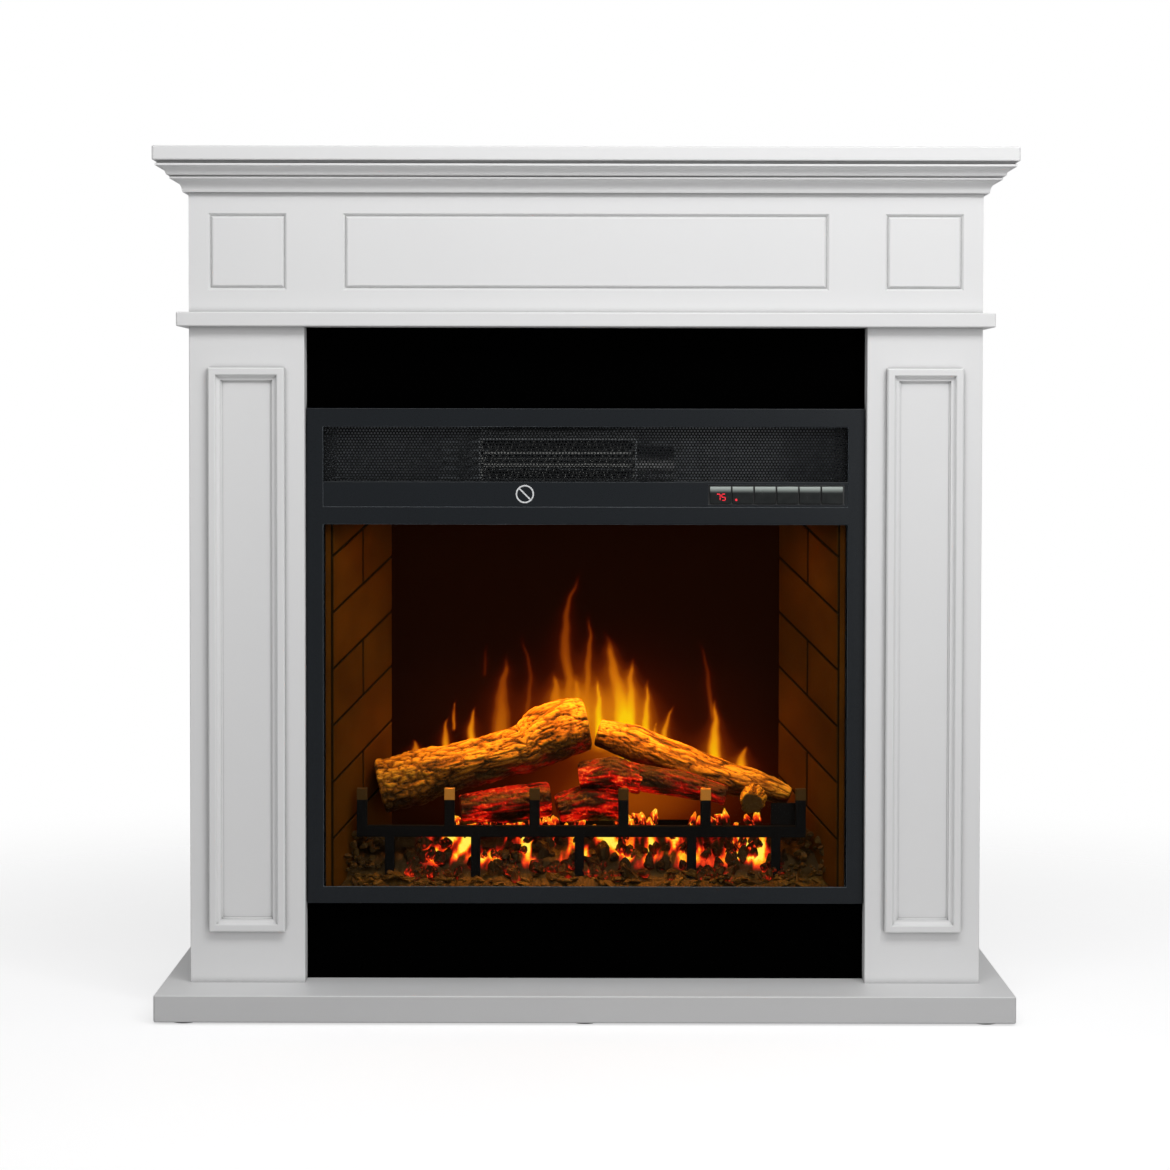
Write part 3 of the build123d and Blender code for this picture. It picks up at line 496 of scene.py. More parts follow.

# The outlet grille: one sheet of perforated steel in the trim's slate coat, punched in
# staggered rows, held behind the trim where the warm air leaves. Its coat is drawn far darker
# than the trim's, as painted shade in its recess.
HOLE_PITCH = 3.4
HOLE_SIZE = 2.45
grille_low, grille_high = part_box("outlet_grille")
row_pitch = HOLE_PITCH * math.sqrt(3) / 2
grille_rows = int((grille_high.z - grille_low.z) / MM / row_pitch) + 2
grille_columns = int((grille_high.x - grille_low.x) / MM / HOLE_PITCH) + 2
sheet_mesh = bmesh.new()
for row in range(grille_rows):
    for column in range(grille_columns):
        centre_x = grille_low.x / MM + (column + 0.5 * (row % 2)) * HOLE_PITCH
        centre_z = grille_low.z / MM + row * row_pitch
        rings = []
        for reach in (HOLE_PITCH / math.sqrt(3), HOLE_SIZE / 2):
            ring = []
            for corner in range(6):
                turn = math.radians(60 * corner + 30)
                x = min(max((centre_x + reach * math.cos(turn)) * MM, grille_low.x), grille_high.x)
                z = min(max((centre_z + reach * math.sin(turn)) * MM, grille_low.z), grille_high.z)
                ring.append(sheet_mesh.verts.new((x, grille_low.y, z)))
            rings.append(ring)
        for corner in range(6):
            after = (corner + 1) % 6
            sheet_mesh.faces.new((rings[0][corner], rings[0][after], rings[1][after], rings[1][corner]))
SAME_SPOT = 0.00005
NO_AREA = 1e-10
bmesh.ops.remove_doubles(sheet_mesh, verts=sheet_mesh.verts, dist=SAME_SPOT)
flat_faces = [face for face in sheet_mesh.faces if face.calc_area() < NO_AREA]
bmesh.ops.delete(sheet_mesh, geom=flat_faces, context="FACES")
grille_data = bpy.data.meshes.new("perforated_grille")
sheet_mesh.to_mesh(grille_data)
sheet_mesh.free()
shaded_grille_coat = Finish("punched_sheet_shaded_coat", Specular_IOR_Level=0.18)
punched_grain = shaded_grille_coat.cloud(1500.0, 3.0, 0.6)
shaded_grille_coat.coat(
    # Painted shade: a much darker copy of the slate coat.
    Base_Color=shaded_grille_coat.blend(punched_grain, (0.0016, 0.0022, 0.0028), (0.0040, 0.0052, 0.0062)),
    Roughness=0.45 + 0.2 * punched_grain,
    Normal=shaded_grille_coat.relief(punched_grain, 0.00005, 0.35),
)
grille_data.materials.append(shaded_grille_coat.material)
grille = bpy.data.objects.new("perforated_grille", grille_data)
bpy.context.scene.collection.objects.link(grille)
gauge = grille.modifiers.new("sheet_gauge", "SOLIDIFY")
gauge.thickness = grille_high.y - grille_low.y
gauge.offset = 1.0
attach(grille, "fireplace")
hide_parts("outlet_grille")

# The six control keys: gloss black moulded plastic with a slanted top edge. Each moves on
# its own stem, and fingerprints leave faint smears in the polish.
gloss = Finish("gloss_black_keys", Specular_IOR_Level=0.5)
smear = gloss.cloud(160.0, 3.0)
key_low, key_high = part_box("button_1")
# Painted highlight: the top of each key is drawn light grey-green, as its slanted edge would shine.
painted_top_highlight = gloss.axis("Z").span(key_high.z - 0.0085, key_high.z - 0.0015)
gloss.coat(
    Base_Color=gloss.blend(painted_top_highlight, (0.003, 0.005, 0.005), (0.42, 0.47, 0.44)),
    Roughness=0.10 + 0.25 * smear,
    Normal=gloss.relief(gloss.cloud(900.0), 0.00003, 0.3),
)
KEYS = [f"button_{number}" for number in range(1, 7)]
finish_nodes(KEYS, gloss.material)
ease_edges(KEYS, 0.35, 2)

# The red figures on the first key and the red lamp on the second: light-emitting bars that
# shine through the smoked plastic, so they are set at the face of each key.
lit_red = Finish("lit_red_segment", Roughness=0.4, Emission_Strength=1.6)
halo = lit_red.cloud(900.0)
lit_red.coat(
    Base_Color=lit_red.blend(halo, (0.3, 0.005, 0.01), (0.5, 0.01, 0.02)),
    Emission_Color=lit_red.blend(halo.span(0.3, 0.7), (0.42, 0.0, 0.008), (0.9, 0.02, 0.04)),
)
DIGIT_HEIGHT = 6.6
DIGIT_WIDTH = 3.6
DIGIT_GAP = 1.8
BAR_THICKNESS = 0.85
READOUT_ASIDE = 1.4
READOUT_DROP = 2.2
GLOW_DEPTH = 0.12
SEGMENTS = {
    "top": ((0, 1), (1, 1)),
    "middle": ((0, 0.5), (1, 0.5)),
    "bottom": ((0, 0), (1, 0)),
    "upper_left": ((0, 0.5), (0, 1)),
    "upper_right": ((1, 0.5), (1, 1)),
    "lower_left": ((0, 0), (0, 0.5)),
    "lower_right": ((1, 0), (1, 0.5)),
}
DIGITS = [
    ["top", "upper_right", "lower_right"],
    ["top", "upper_left", "middle", "lower_right", "bottom"],
]


def lit_bar(points, faces, start_point, end_point, width, front):
    """Adds one pointed bar from start to end, both (x, z) in millimetres."""
    along = Vector(end_point) - Vector(start_point)
    length = along.length
    along.normalize()
    across = Vector((-along.y, along.x))
    outline = [
        (0.1, 0),
        (width * 0.6, -width / 2),
        (length - width * 0.6, -width / 2),
        (length - 0.1, 0),
        (length - width * 0.6, width / 2),
        (width * 0.6, width / 2),
    ]
    first = len(points)
    for depth in (0.0, GLOW_DEPTH):
        for forward, aside in outline:
            spot = Vector(start_point) + along * forward + across * aside
            points.append((spot.x * MM, front + depth * MM, spot.y * MM))
    count = len(outline)
    faces.append(range(first, first + count))
    faces.append(range(first + 2 * count - 1, first + count - 1, -1))
    for side in range(count):
        after = (side + 1) % count
        faces.append((first + side, first + side + count, first + after + count, first + after))


digit_points = []
digit_faces = []
key_middle_x = (key_low.x + key_high.x) / 2 / MM
key_middle_z = (key_low.z + key_high.z) / 2 / MM
face_front = key_low.y - 0.00005
for place, lit in enumerate(DIGITS):
    left = key_middle_x + READOUT_ASIDE + (place - 1) * (DIGIT_WIDTH + DIGIT_GAP)
    bottom = key_middle_z - DIGIT_HEIGHT / 2 - READOUT_DROP
    for segment in lit:
        ends = [(left + x * DIGIT_WIDTH, bottom + z * DIGIT_HEIGHT) for x, z in SEGMENTS[segment]]
        lit_bar(digit_points, digit_faces, *ends, BAR_THICKNESS, face_front)
readout = mesh_piece("readout_digits", digit_points, digit_faces, lit_red.material, smooth=False)
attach(readout, "key_1")

LAMP_RADIUS = 1.3
second_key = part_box("button_2")[0]
lamp_x = second_key.x + 0.0045
lamp_z = second_key.z + 0.0052
lamp_points = []
lamp_faces = []
LAMP_STEPS = 20
# The lens from its foot inside the key to its domed face: how far in, and its radius.
LENS = [(GLOW_DEPTH, LAMP_RADIUS), (0.05, LAMP_RADIUS), (-0.12, LAMP_RADIUS * 0.7), (-0.2, 0.25)]
for lift, radius in LENS:
    for step in range(LAMP_STEPS):
        turn = 2 * math.pi * step / LAMP_STEPS
        lamp_points.append(
            (
                lamp_x + radius * math.cos(turn) * MM,
                second_key.y + lift * MM,
                lamp_z + radius * math.sin(turn) * MM,
            )
        )
for ring in range(len(LENS) - 1):
    near = ring * LAMP_STEPS
    far = near + LAMP_STEPS
    for step in range(LAMP_STEPS):
        after = (step + 1) % LAMP_STEPS
        lamp_faces.append((near + step, near + after, far + after, far + step))
lamp_faces.append(range(LAMP_STEPS - 1, -1, -1))
lamp_faces.append(range(len(lamp_points) - LAMP_STEPS, len(lamp_points)))
power_lamp = mesh_piece("power_lamp", lamp_points, lamp_faces, lit_red.material)
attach(power_lamp, "key_2")

# The control board and its display: green lacquered glass-fibre laminate with copper tracks
# under the lacquer, and a dark red display block soldered to it.
laminate = Finish("green_circuit_lacquer", Roughness=0.35, Coat_Weight=0.3)
track_lines = laminate.cells(260.0, "DISTANCE_TO_EDGE")
tracks = 1 - track_lines.span(0.03, 0.08)
laminate.coat(
    Base_Color=laminate.blend(tracks, (0.008, 0.07, 0.028), (0.05, 0.19, 0.07)),
    Normal=laminate.relief(tracks, 0.00005, 0.6),
)
finish_nodes(["control_board"], laminate.material)
display = Finish("dark_red_display", Coat_Weight=0.4, Emission_Strength=0.3)
display_speck = display.cloud(1100.0)
display.coat(
    Base_Color=display.blend(display_speck, (0.10, 0.004, 0.006), (0.16, 0.008, 0.012)),
    Roughness=0.25 + 0.1 * display_speck,
    Emission_Color=display.blend(display_speck, (0.15, 0.0, 0.002), (0.35, 0.005, 0.01)),
)
finish_nodes(["display_module"], display.material)

# The glass: a flat pane of clear toughened glass, coated to cut its reflection, held by
# spring clips behind the trim.
pane = Finish("coated_clear_glass")
haze = pane.cloud(30.0, 3.0)
gloss_shader = pane.tree.nodes.new("ShaderNodeBsdfGlossy")
gloss_shader.inputs["Roughness"].default_value = 0.03
gloss_shader.inputs["Color"].default_value = (0.9, 0.95, 1.0, 1.0)
clear_shader = pane.tree.nodes.new("ShaderNodeBsdfTransparent")
clear_shader.inputs["Color"].default_value = (0.93, 0.94, 0.94, 1.0)
shine = pane.node("ShaderNodeFresnel", None, {"IOR": 1.06})
mixed = pane.tree.nodes.new("ShaderNodeMixShader")
pane.set(mixed, {0: shine * (0.85 + 0.3 * haze)})
pane.tree.links.new(clear_shader.outputs[0], mixed.inputs[1])
pane.tree.links.new(gloss_shader.outputs[0], mixed.inputs[2])
pane.tree.links.new(mixed.outputs[0], pane.tree.nodes["Material Output"].inputs["Surface"])
pane.tree.nodes.remove(pane.shader)
finish_nodes(["glass_panel"], pane.material)

# The heater's case, its back cover, deck, flame mask, fan housing and bearing plates: thin
# hot-dip galvanised sheet, with the frost-like spangle of the zinc and dulled cut edges.
galvanised = Finish("galvanised_sheet", Metallic=0.9)
spangle = galvanised.cells(90.0, "F1", "Color")
crystal = galvanised.node("ShaderNodeSeparateColor", None, {0: spangle}, out=0)
cloudy = galvanised.cloud(12.0, 3.0)
sheet_tone = galvanised.blend(crystal, (0.42, 0.44, 0.46), (0.60, 0.62, 0.63))
galvanised.coat(
    Base_Color=galvanised.blend(cloudy * 0.4, sheet_tone, (0.50, 0.52, 0.54)),
    Roughness=0.32 + 0.16 * crystal + 0.1 * cloudy,
    Normal=galvanised.relief(crystal, 0.00003, 0.5),
)
SHEET_PARTS = [
    "case_top",
    "case_bottom",
    "case_left",
    "case_right",
    "rear_cover",
    "heater_deck",
    "flame_mask",
    "blower_housing",
    "spindle_bearings",
]
finish_nodes(SHEET_PARTS, galvanised.material)

# The louvres in the back cover: hoods pressed outwards over its air slots, open at the foot,
# in rows that lie behind the fan.
LOUVRE_COLUMNS = 10
LOUVRE_ROWS = 6
LOUVRE_PITCH_X = 34.0
LOUVRE_PITCH_Z = 10.0
LOUVRE_WIDTH = 27.0
LOUVRE_HEIGHT = 6.6
LOUVRE_PROUD = 4.2
LOUVRE_GAUGE = 0.6
LOUVRE_MIDDLE_Z = 575.0
LOUVRE_ACROSS = 12
LOUVRE_UP = 6
cover_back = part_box("rear_cover")[1].y
louvre_points = []
louvre_faces = []


def sheet_border(columns, rows):
    """The corners round the border of a sheet of points laid out row by row."""
    border = list(range(columns))
    border += [row * columns + columns - 1 for row in range(1, rows)]
    border += [(rows - 1) * columns + column for column in range(columns - 2, -1, -1)]
    border += [row * columns for row in range(rows - 2, 0, -1)]
    return border


def louvre_spot(across_share, up_share, centre_x, centre_z, inner):
    """A place on a louvre's hood: a blister that swells from its top edge to its open foot."""
    swell = math.sin(math.pi * across_share) ** 0.35 * math.sin(math.pi / 2 * up_share) ** 0.8
    proud = (LOUVRE_PROUD - inner) * swell + (0.02 - inner * 0.1)
    x = centre_x + (across_share - 0.5) * LOUVRE_WIDTH
    z = centre_z + LOUVRE_HEIGHT * (0.62 - up_share)
    return (x * MM, cover_back + proud * MM, z * MM)


for row in range(LOUVRE_ROWS):
    for column in range(LOUVRE_COLUMNS):
        centre_x = (column - (LOUVRE_COLUMNS - 1) / 2) * LOUVRE_PITCH_X
        centre_z = LOUVRE_MIDDLE_Z + (row - (LOUVRE_ROWS - 1) / 2) * LOUVRE_PITCH_Z
        first = len(louvre_points)
        for inner in (0.0, LOUVRE_GAUGE):
            for up in range(LOUVRE_UP + 1):
                for side in range(LOUVRE_ACROSS + 1):
                    spot = louvre_spot(side / LOUVRE_ACROSS, up / LOUVRE_UP, centre_x, centre_z, inner)
                    louvre_points.append(spot)
        width = LOUVRE_ACROSS + 1
        skin = width * (LOUVRE_UP + 1)
        for up in range(LOUVRE_UP):
            for side in range(LOUVRE_ACROSS):
                corner = first + up * width + side
                louvre_faces.append((corner, corner + width, corner + width + 1, corner + 1))
                inside = corner + skin
                louvre_faces.append((inside, inside + 1, inside + width + 1, inside + width))
        outline = [first + corner for corner in sheet_border(width, LOUVRE_UP + 1)]
        for place, corner in enumerate(outline):
            after = outline[(place + 1) % len(outline)]
            louvre_faces.append((corner, after, after + skin, corner + skin))
louvres = mesh_piece("rear_louvres", louvre_points, louvre_faces, galvanised.material)
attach(louvres, "fireplace")

# The splayed brick side panels: vacuum-formed and painted to look like a brick lining. The
# courses are formed proud of a thin backing, which ends in a narrow flat lip at the front.
COURSE = 60.0
JOINT = 3.2
COURSE_RISE = 0.44
BRICK_LIFT = 1.5
EASING = 1.1
FIRST_COURSE = 120.0
BACKING = 1.6
LIP_STEP = 0.8
LIP_JOINT = 2.0
LIP_WIDTH = 7.5
SPLIT_COURSES = (1, 3, 5)
random.seed(23)
brick = Finish("amber_brick_paint", Specular_IOR_Level=0.04)
pitted = brick.cloud(320.0, 5.0, 0.65)
patch = brick.cloud(16.0, 3.0)
per_brick = brick.carried("tone")
raised = brick.carried("raised")
clay = brick.blend(patch.span(0.3, 0.7), (0.075, 0.021, 0.0004), (0.115, 0.034, 0.0008))
clay = brick.blend(per_brick * 0.5, clay, (0.060, 0.021, 0.0005))
brick.coat(
    Base_Color=brick.blend(raised, (0.012, 0.006, 0.0004), clay),
    Roughness=0.62 + 0.25 * pitted,
    Normal=brick.relief(pitted, 0.0005, 0.6),
)


def carry(piece, name, values):
    """Stores one value per point on the piece, for its finish to read."""
    layer = piece.data.attributes.new(name, "FLOAT", "POINT")
    layer.data.foreach_set("value", [float(value) for value in values])


def brick_samples(length, inner_steps):
    """Places across a brick, close together at its eased edges, with the lift at each."""
    places = [0.0, 0.12 * EASING, 0.5 * EASING, EASING]
    inner = [EASING + (length - 2 * EASING) * step / inner_steps for step in range(1, inner_steps)]
    lifts = [-0.3, 0.55, 0.9, 1.0]
    mirrored = [length - place for place in reversed(places)]
    return places + inner + mirrored, lifts + [1.0] * len(inner) + lifts[::-1]


for side_name, side in (("left", -1), ("right", 1)):
    panel = f"{side_name}_brick_panel"
    low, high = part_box(panel)
    lip_outer = max(abs(low.x), abs(high.x)) / MM
    front = Vector((lip_outer - LIP_WIDTH, low.y / MM))
    rear = Vector((min(abs(low.x), abs(high.x)) / MM + 1.5, high.y / MM - 1.0))
    splay = rear - front
    inward = Vector((-splay.y, splay.x)).normalized()
    points = []
    faces = []
    tones = []
    lifts = []

    def wall_point(along, z, lift):
        spot = front + splay.normalized() * along + inward * lift
        return (side * spot.x * MM, spot.y * MM, min(max(z, low.z / MM), high.z / MM) * MM)

    backing = [
        (lip_outer, low.y / MM + LIP_STEP),
        (front.x, low.y / MM + LIP_STEP),
        tuple(rear),
        tuple(rear - inward * BACKING),
        (front.x + 1.9, low.y / MM + BACKING),
        (lip_outer, low.y / MM + BACKING),
    ]
    lip = [
        (lip_outer, low.y / MM),
        (front.x + LIP_JOINT, low.y / MM),
        (front.x + LIP_JOINT, low.y / MM + LIP_STEP + 0.2),
        (lip_outer, low.y / MM + LIP_STEP + 0.2),
    ]
    for outline, lift, tone in ((backing, 0.0, 0.2), (lip, 1.0, -0.6)):
        first = len(points)
        count = len(outline)
        for z in (low.z, high.z):
            for x, y in outline:
                points.append((side * x * MM, y * MM, z))
                tones.append(tone)
                lifts.append(lift)
        faces.append(range(first, first + count))
        faces.append(range(first + 2 * count - 1, first + count - 1, -1))
        for corner in range(count):
            after = (corner + 1) % count
            faces.append((first + corner, first + corner + count, first + after + count, first + after))
    for course in range(-1, 7):
        spans = [(0.0, splay.length)]
        if course in SPLIT_COURSES:
            half = splay.length * 0.5
            spans = [(0.0, half - JOINT / 2), (half + JOINT / 2, splay.length)]
        for begin, end in spans:
            tone = random.random()
            length_places, length_lifts = brick_samples(end - begin, 14)
            height_places, height_lifts = brick_samples(COURSE - JOINT, 10)
            first = len(points)
            for along, along_lift in zip(length_places, length_lifts):
                for up, up_lift in zip(height_places, height_lifts):
                    x = begin + along
                    z = FIRST_COURSE + course * COURSE + JOINT / 2 + up + COURSE_RISE * x
                    lift = min(along_lift, up_lift)
                    dent = noise.noise(Vector((x * 0.09, z * 0.09, side * 3.0))) * 0.28
                    dent += noise.noise(Vector((x * 0.4, z * 0.4, side * 7.0))) * 0.12
                    points.append(wall_point(x, z, BRICK_LIFT * lift + max(lift, 0.0) * dent))
                    tones.append(tone)
                    lifts.append(max(lift, 0.0))
            columns = len(height_places)
            for row in range(len(length_places) - 1):
                for column in range(columns - 1):
                    corner = first + row * columns + column
                    faces.append((corner, corner + columns, corner + columns + 1, corner + 1))
    wall = mesh_piece(f"{panel}_bricks", points, faces, brick.material, smooth=False)
    carry(wall, "tone", tones)
    carry(wall, "raised", lifts)
    clean = bmesh.new()
    clean.from_mesh(wall.data)
    squashed = [face for face in clean.faces if face.calc_area() < 1e-9]
    bmesh.ops.delete(clean, geom=squashed, context="FACES")
    loose = [vert for vert in clean.verts if not vert.link_faces]
    bmesh.ops.delete(clean, geom=loose, context="VERTS")
    bmesh.ops.recalc_face_normals(clean, faces=clean.faces)
    clean.to_mesh(wall.data)
    clean.free()
    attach(wall, "fireplace")
    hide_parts(panel)

# The flame screen: a sheet of frosted dark plastic. The turning spindle throws light through
# the flame-shaped mask on to its back, and the flames show on its face, yellow at their
# feet and deep orange at their tips.
# Each flame is its foot, bend and tip as (x, z), its half width, and its heat at foot and tip.
FLAMES = [
    ((-186, 250), (-187, 262), (-190, 274), 6.5, 0.74, 0.45),
    ((-153, 262), (-153, 282), (-150, 299), 4.6, 0.78, 0.40),
    ((-144, 290), (-145, 303), (-143, 318), 1.9, 0.58, 0.40),
    ((-124, 268), (-125, 290), (-122, 311), 4.8, 0.84, 0.48),
    ((-110, 350), (-110, 365), (-107, 380), 2.0, 0.20, 0.16),
    ((-93, 272), (-91, 322), (-86, 370), 12.5, 0.52, 0.26),
    ((-69, 285), (-61, 345), (-72, 394), 4.6, 0.32, 0.20),
    ((-17, 340), (-21, 405), (-4, 462), 7.5, 0.44, 0.20),
    ((1, 318), (4, 365), (4, 416), 6.0, 0.50, 0.22),
    ((-30, 290), (-32, 322), (-36, 350), 13.0, 0.66, 0.40),
    ((-8, 290), (-9, 318), (-12, 346), 13.0, 0.74, 0.46),
    ((15, 280), (15, 310), (11, 344), 6.4, 0.98, 0.66),
    ((44, 272), (33, 345), (20, 395), 14.5, 1.05, 0.20),
    ((49, 285), (50, 330), (53, 366), 9.5, 1.00, 0.36),
    ((68, 270), (67, 312), (71, 342), 6.2, 0.97, 0.52),
    ((78, 268), (78, 282), (78, 294), 1.9, 0.88, 0.60),
    ((88, 262), (89, 290), (97, 313), 4.8, 0.84, 0.42),
    ((138, 312), (133, 350), (126, 386), 3.4, 0.30, 0.16),
    ((143, 240), (142, 280), (144, 321), 8.6, 1.00, 0.50),
    ((170, 234), (173, 252), (178, 268), 8.4, 0.93, 0.42),
]
SCREEN_STEP = 1.6
screen_low, screen_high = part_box("flame_screen")
screen_columns = int((screen_high.x - screen_low.x) / MM / SCREEN_STEP) + 1
screen_rows = int((screen_high.z - screen_low.z) / MM / SCREEN_STEP) + 1
across = np.linspace(screen_low.x, screen_high.x, screen_columns) / MM
upward = np.linspace(screen_low.z, screen_high.z, screen_rows) / MM
screen_x, screen_z = np.meshgrid(across, upward)
waver = 1.6 * np.sin(screen_z * 0.11 + screen_x * 0.03) + 0.8 * np.sin(screen_z * 0.27 + screen_x * 0.09)
heat = 0.045 + 0.10 * np.exp(-(((screen_x - 25) / 150) ** 2) - ((screen_z - 235) / 130) ** 2)
heat += 0.47 * np.exp(-(((screen_x - 10) / 56) ** 2) - ((screen_z - 298) / 42) ** 2)
heat += 0.30 * np.exp(-(((screen_x - 50) / 110) ** 2) - ((screen_z - 205) / 42) ** 2)
heat += 0.12 * np.exp(-(((screen_x - 110) / 70) ** 2) - ((screen_z - 250) / 30) ** 2)
for foot, bend, tip, half, foot_heat, tip_heat in FLAMES:
    rise = (screen_z - foot[1]) / (tip[1] - foot[1])
    bent = (bend[1] - foot[1]) / (tip[1] - foot[1])
    straight = foot[0] + (tip[0] - foot[0]) * rise
    bow = (bend[0] - foot[0] - (tip[0] - foot[0]) * bent) / (bent * (1 - bent))
    inside = np.clip(rise, 0.0, 1.0)
    spine = straight + bow * inside * (1 - inside)
    belly = 0.78 + 0.32 * np.sin(math.pi * np.clip(inside * 1.25 + 0.1, 0, 1))
    reach = np.maximum(half * (1 - inside) ** 0.72 * belly, 0.35)
    offset = np.abs(screen_x + waver * inside - spine) / reach
    body = np.exp(-(offset**2.6))
    fade = np.clip((1.0 - rise) * 5.0, 0.0, 1.0) * np.clip((rise + 0.35) * 6.0, 0.0, 1.0)
    strength = (foot_heat + (tip_heat - foot_heat) * inside) * body * fade
    heat = np.maximum(heat, strength) + 0.16 * np.minimum(heat, strength)
    aura = np.exp(-((offset / 2.4) ** 2)) * fade * 0.30 * foot_heat
    heat = heat + aura * (1 - np.clip(heat * 1.6, 0, 1))
flame_points = []
for back in (screen_low.y, screen_high.y):
    flame_points += [(x * MM, back, z * MM) for z in upward for x in across]
flame_faces = []
sheet_size = screen_rows * screen_columns
for row in range(screen_rows - 1):
    for column in range(screen_columns - 1):
        corner = row * screen_columns + column
        flame_faces.append((corner, corner + 1, corner + screen_columns + 1, corner + screen_columns))
border = sheet_border(screen_columns, screen_rows)
rear_first = len(flame_points) - sheet_size
rear_border = [rear_first + corner for corner in border]
for place, corner in enumerate(border):
    after = (place + 1) % len(border)
    flame_faces.append((corner, rear_border[place], rear_border[after], border[after]))
flame_faces.append(rear_border)
frosted = Finish("frosted_flame_plastic", Roughness=0.6, Specular_IOR_Level=0.0, Emission_Strength=1.0)
warmth = frosted.carried("glow") * (0.97 + 0.06 * frosted.cloud(260.0))
frosted.coat(
    Base_Color=frosted.blend(frosted.cloud(60.0), (0.003, 0.001, 0.0006), (0.006, 0.002, 0.001)),
    Emission_Color=frosted.node(
        "ShaderNodeValToRGB",
        {
            "stops": [
                (0.0, (0.0015, 0.0003, 0.0)),
                (0.06, (0.006, 0.0008, 0.0)),
                (0.16, (0.028, 0.002, 0.0)),
                (0.30, (0.11, 0.011, 0.0003)),
                (0.44, (0.30, 0.05, 0.001)),
                (0.60, (0.68, 0.17, 0.003)),
                (0.78, (0.98, 0.36, 0.004)),
                (0.93, (1.06, 0.53, 0.003)),
                (1.0, (1.1, 0.66, 0.004)),
            ]
        },
        {"Fac": warmth},
    ),
)
flames = mesh_piece("flame_screen_sheet", flame_points, flame_faces, frosted.material, smooth=False)
carry(flames, "glow", np.concatenate([heat.ravel(), heat.ravel() * 0.4]))
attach(flames, "fireplace")
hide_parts("flame_screen")

# The flicker spindle and the fan wheel: bright rolled aluminium, with fine lines from the
# rolls and soft glints where the vanes are creased.
bright = Finish("bright_aluminium", Metallic=1.0)
roll_lines = bright.cloud(400.0, 3.0, 0.6, bright.stretch(0.08, 1.0, 1.0))
bright.coat(
    Base_Color=bright.blend(roll_lines, (0.72, 0.73, 0.74), (0.86, 0.86, 0.86)),
    Roughness=0.16 + 0.2 * roll_lines,
    Normal=bright.relief(roll_lines, 0.00004, 0.4),
)
finish_nodes(["flicker_spindle", "blower_impeller"], bright.material)

# The lamp boards: strips of white-lacquered laminate carrying rows of amber light-emitting
# diodes that light the spindle and the ember bed from below.
lamp_strip = Finish("lit_amber_board", Roughness=0.4, Emission_Strength=1.0)
lamp_dots = 1 - lamp_strip.cells(70.0).span(0.15, 0.35)
lamp_strip.coat(
    Base_Color=lamp_strip.blend(lamp_dots, (0.72, 0.70, 0.62), (0.9, 0.55, 0.15)),
    Emission_Color=lamp_strip.blend(lamp_dots, (0.05, 0.015, 0.002), (1.0, 0.42, 0.06)),
)
finish_nodes(["lamp_boards"], lamp_strip.material)

# The warm light in the firebox: a hidden amber row behind the trim washes the bricks, a
# narrow one beside it is aimed down at the logs, and the screen throws a little forwards.
deck_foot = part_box("heater_deck")[0].z
bricks_light = (0.0, -0.045, deck_foot - 0.012)
soft_lamp("firebox_top_glow", bricks_light, (0.0, 0.02, 0.24), 0.46, 0.03, 0.16, (1.0, 0.50, 0.10))
screen_light = (0.02, 0.035, 0.33)
soft_lamp("fire_glow", screen_light, (0.02, -0.2, 0.28), 0.22, 0.14, 0.16, (1.0, 0.42, 0.08))
logs_light = (0.0, -0.052, 0.44)
log_glow = soft_lamp("log_glow", logs_light, (0.0, 0.012, 0.24), 0.36, 0.02, 0.55, (1.0, 0.42, 0.06))
log_glow.data.spread = math.radians(70)

# The log grate: square iron bar, cut and welded, in dull black stove paint. The upturned
# ends stand where the light of the fire catches their tops, and that light is painted on them in amber.
iron = Finish("black_stove_paint", Specular_IOR_Level=0.12)
scale_grain = iron.cloud(700.0, 4.0, 0.6)
grate_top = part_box("log_grate")[1].z
tops = iron.axis("Z").span(grate_top - 0.0125, grate_top - 0.0120)
iron_tone = iron.blend(scale_grain, (0.0008, 0.0006, 0.0005), (0.0022, 0.0016, 0.0012))
along_bar = iron.axis("X")
# The second end from the left and the second from the right stand in the brightest light, painted
# brightest.
lit_ends = 1 - abs(along_bar + 0.145).span(0.02, 0.05) + 1 - abs(along_bar - 0.129).span(0.02, 0.05)
painted_firelight_tone = iron.blend(lit_ends, (0.06, 0.028, 0.004), (0.50, 0.21, 0.03))
iron.coat(
    Base_Color=iron.blend(tops, iron_tone, painted_firelight_tone),
    Roughness=0.6 + 0.25 * scale_grain,
    Normal=iron.relief(scale_grain, 0.0003, 0.5),
)
finish_nodes(["log_grate"], iron.material)
ease_edges(["log_grate"], 0.5, 1)

# The ember bed: a tray of cast resin coals. The shell is clear amber and red, lit from below,
# and loose coals and chips are bonded over it, so that the light shows in the gaps between.
bed_low, bed_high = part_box("ember_bed")
# The tray's section from front to back, as (depth, height) in millimetres.
BED_PROFILE = [
    (-56, 127),
    (-48, 129),
    (-40, 134),
    (-30, 149),
    (-22, 158),
    (-12, 165),
    (4, 170),
    (24, 172),
    (46, 172),
]
BANK_START = 205
BANK_PEAK = 247
BANK_HEIGHT = 34


def bed_height(y):
    """The tray's height at depth y, in millimetres."""
    for (y0, z0), (y1, z1) in zip(BED_PROFILE, BED_PROFILE[1:]):
        if y <= y1:
            return z0 + (z1 - z0) * (y - y0) / (y1 - y0)
    return BED_PROFILE[-1][1]


def bank(x):
    """How much the coals are banked up towards the two ends, in millimetres."""
    if abs(x) < BANK_START:
        return 0.0
    return BANK_HEIGHT * math.exp(-(((abs(x) - BANK_PEAK) / 19) ** 2))


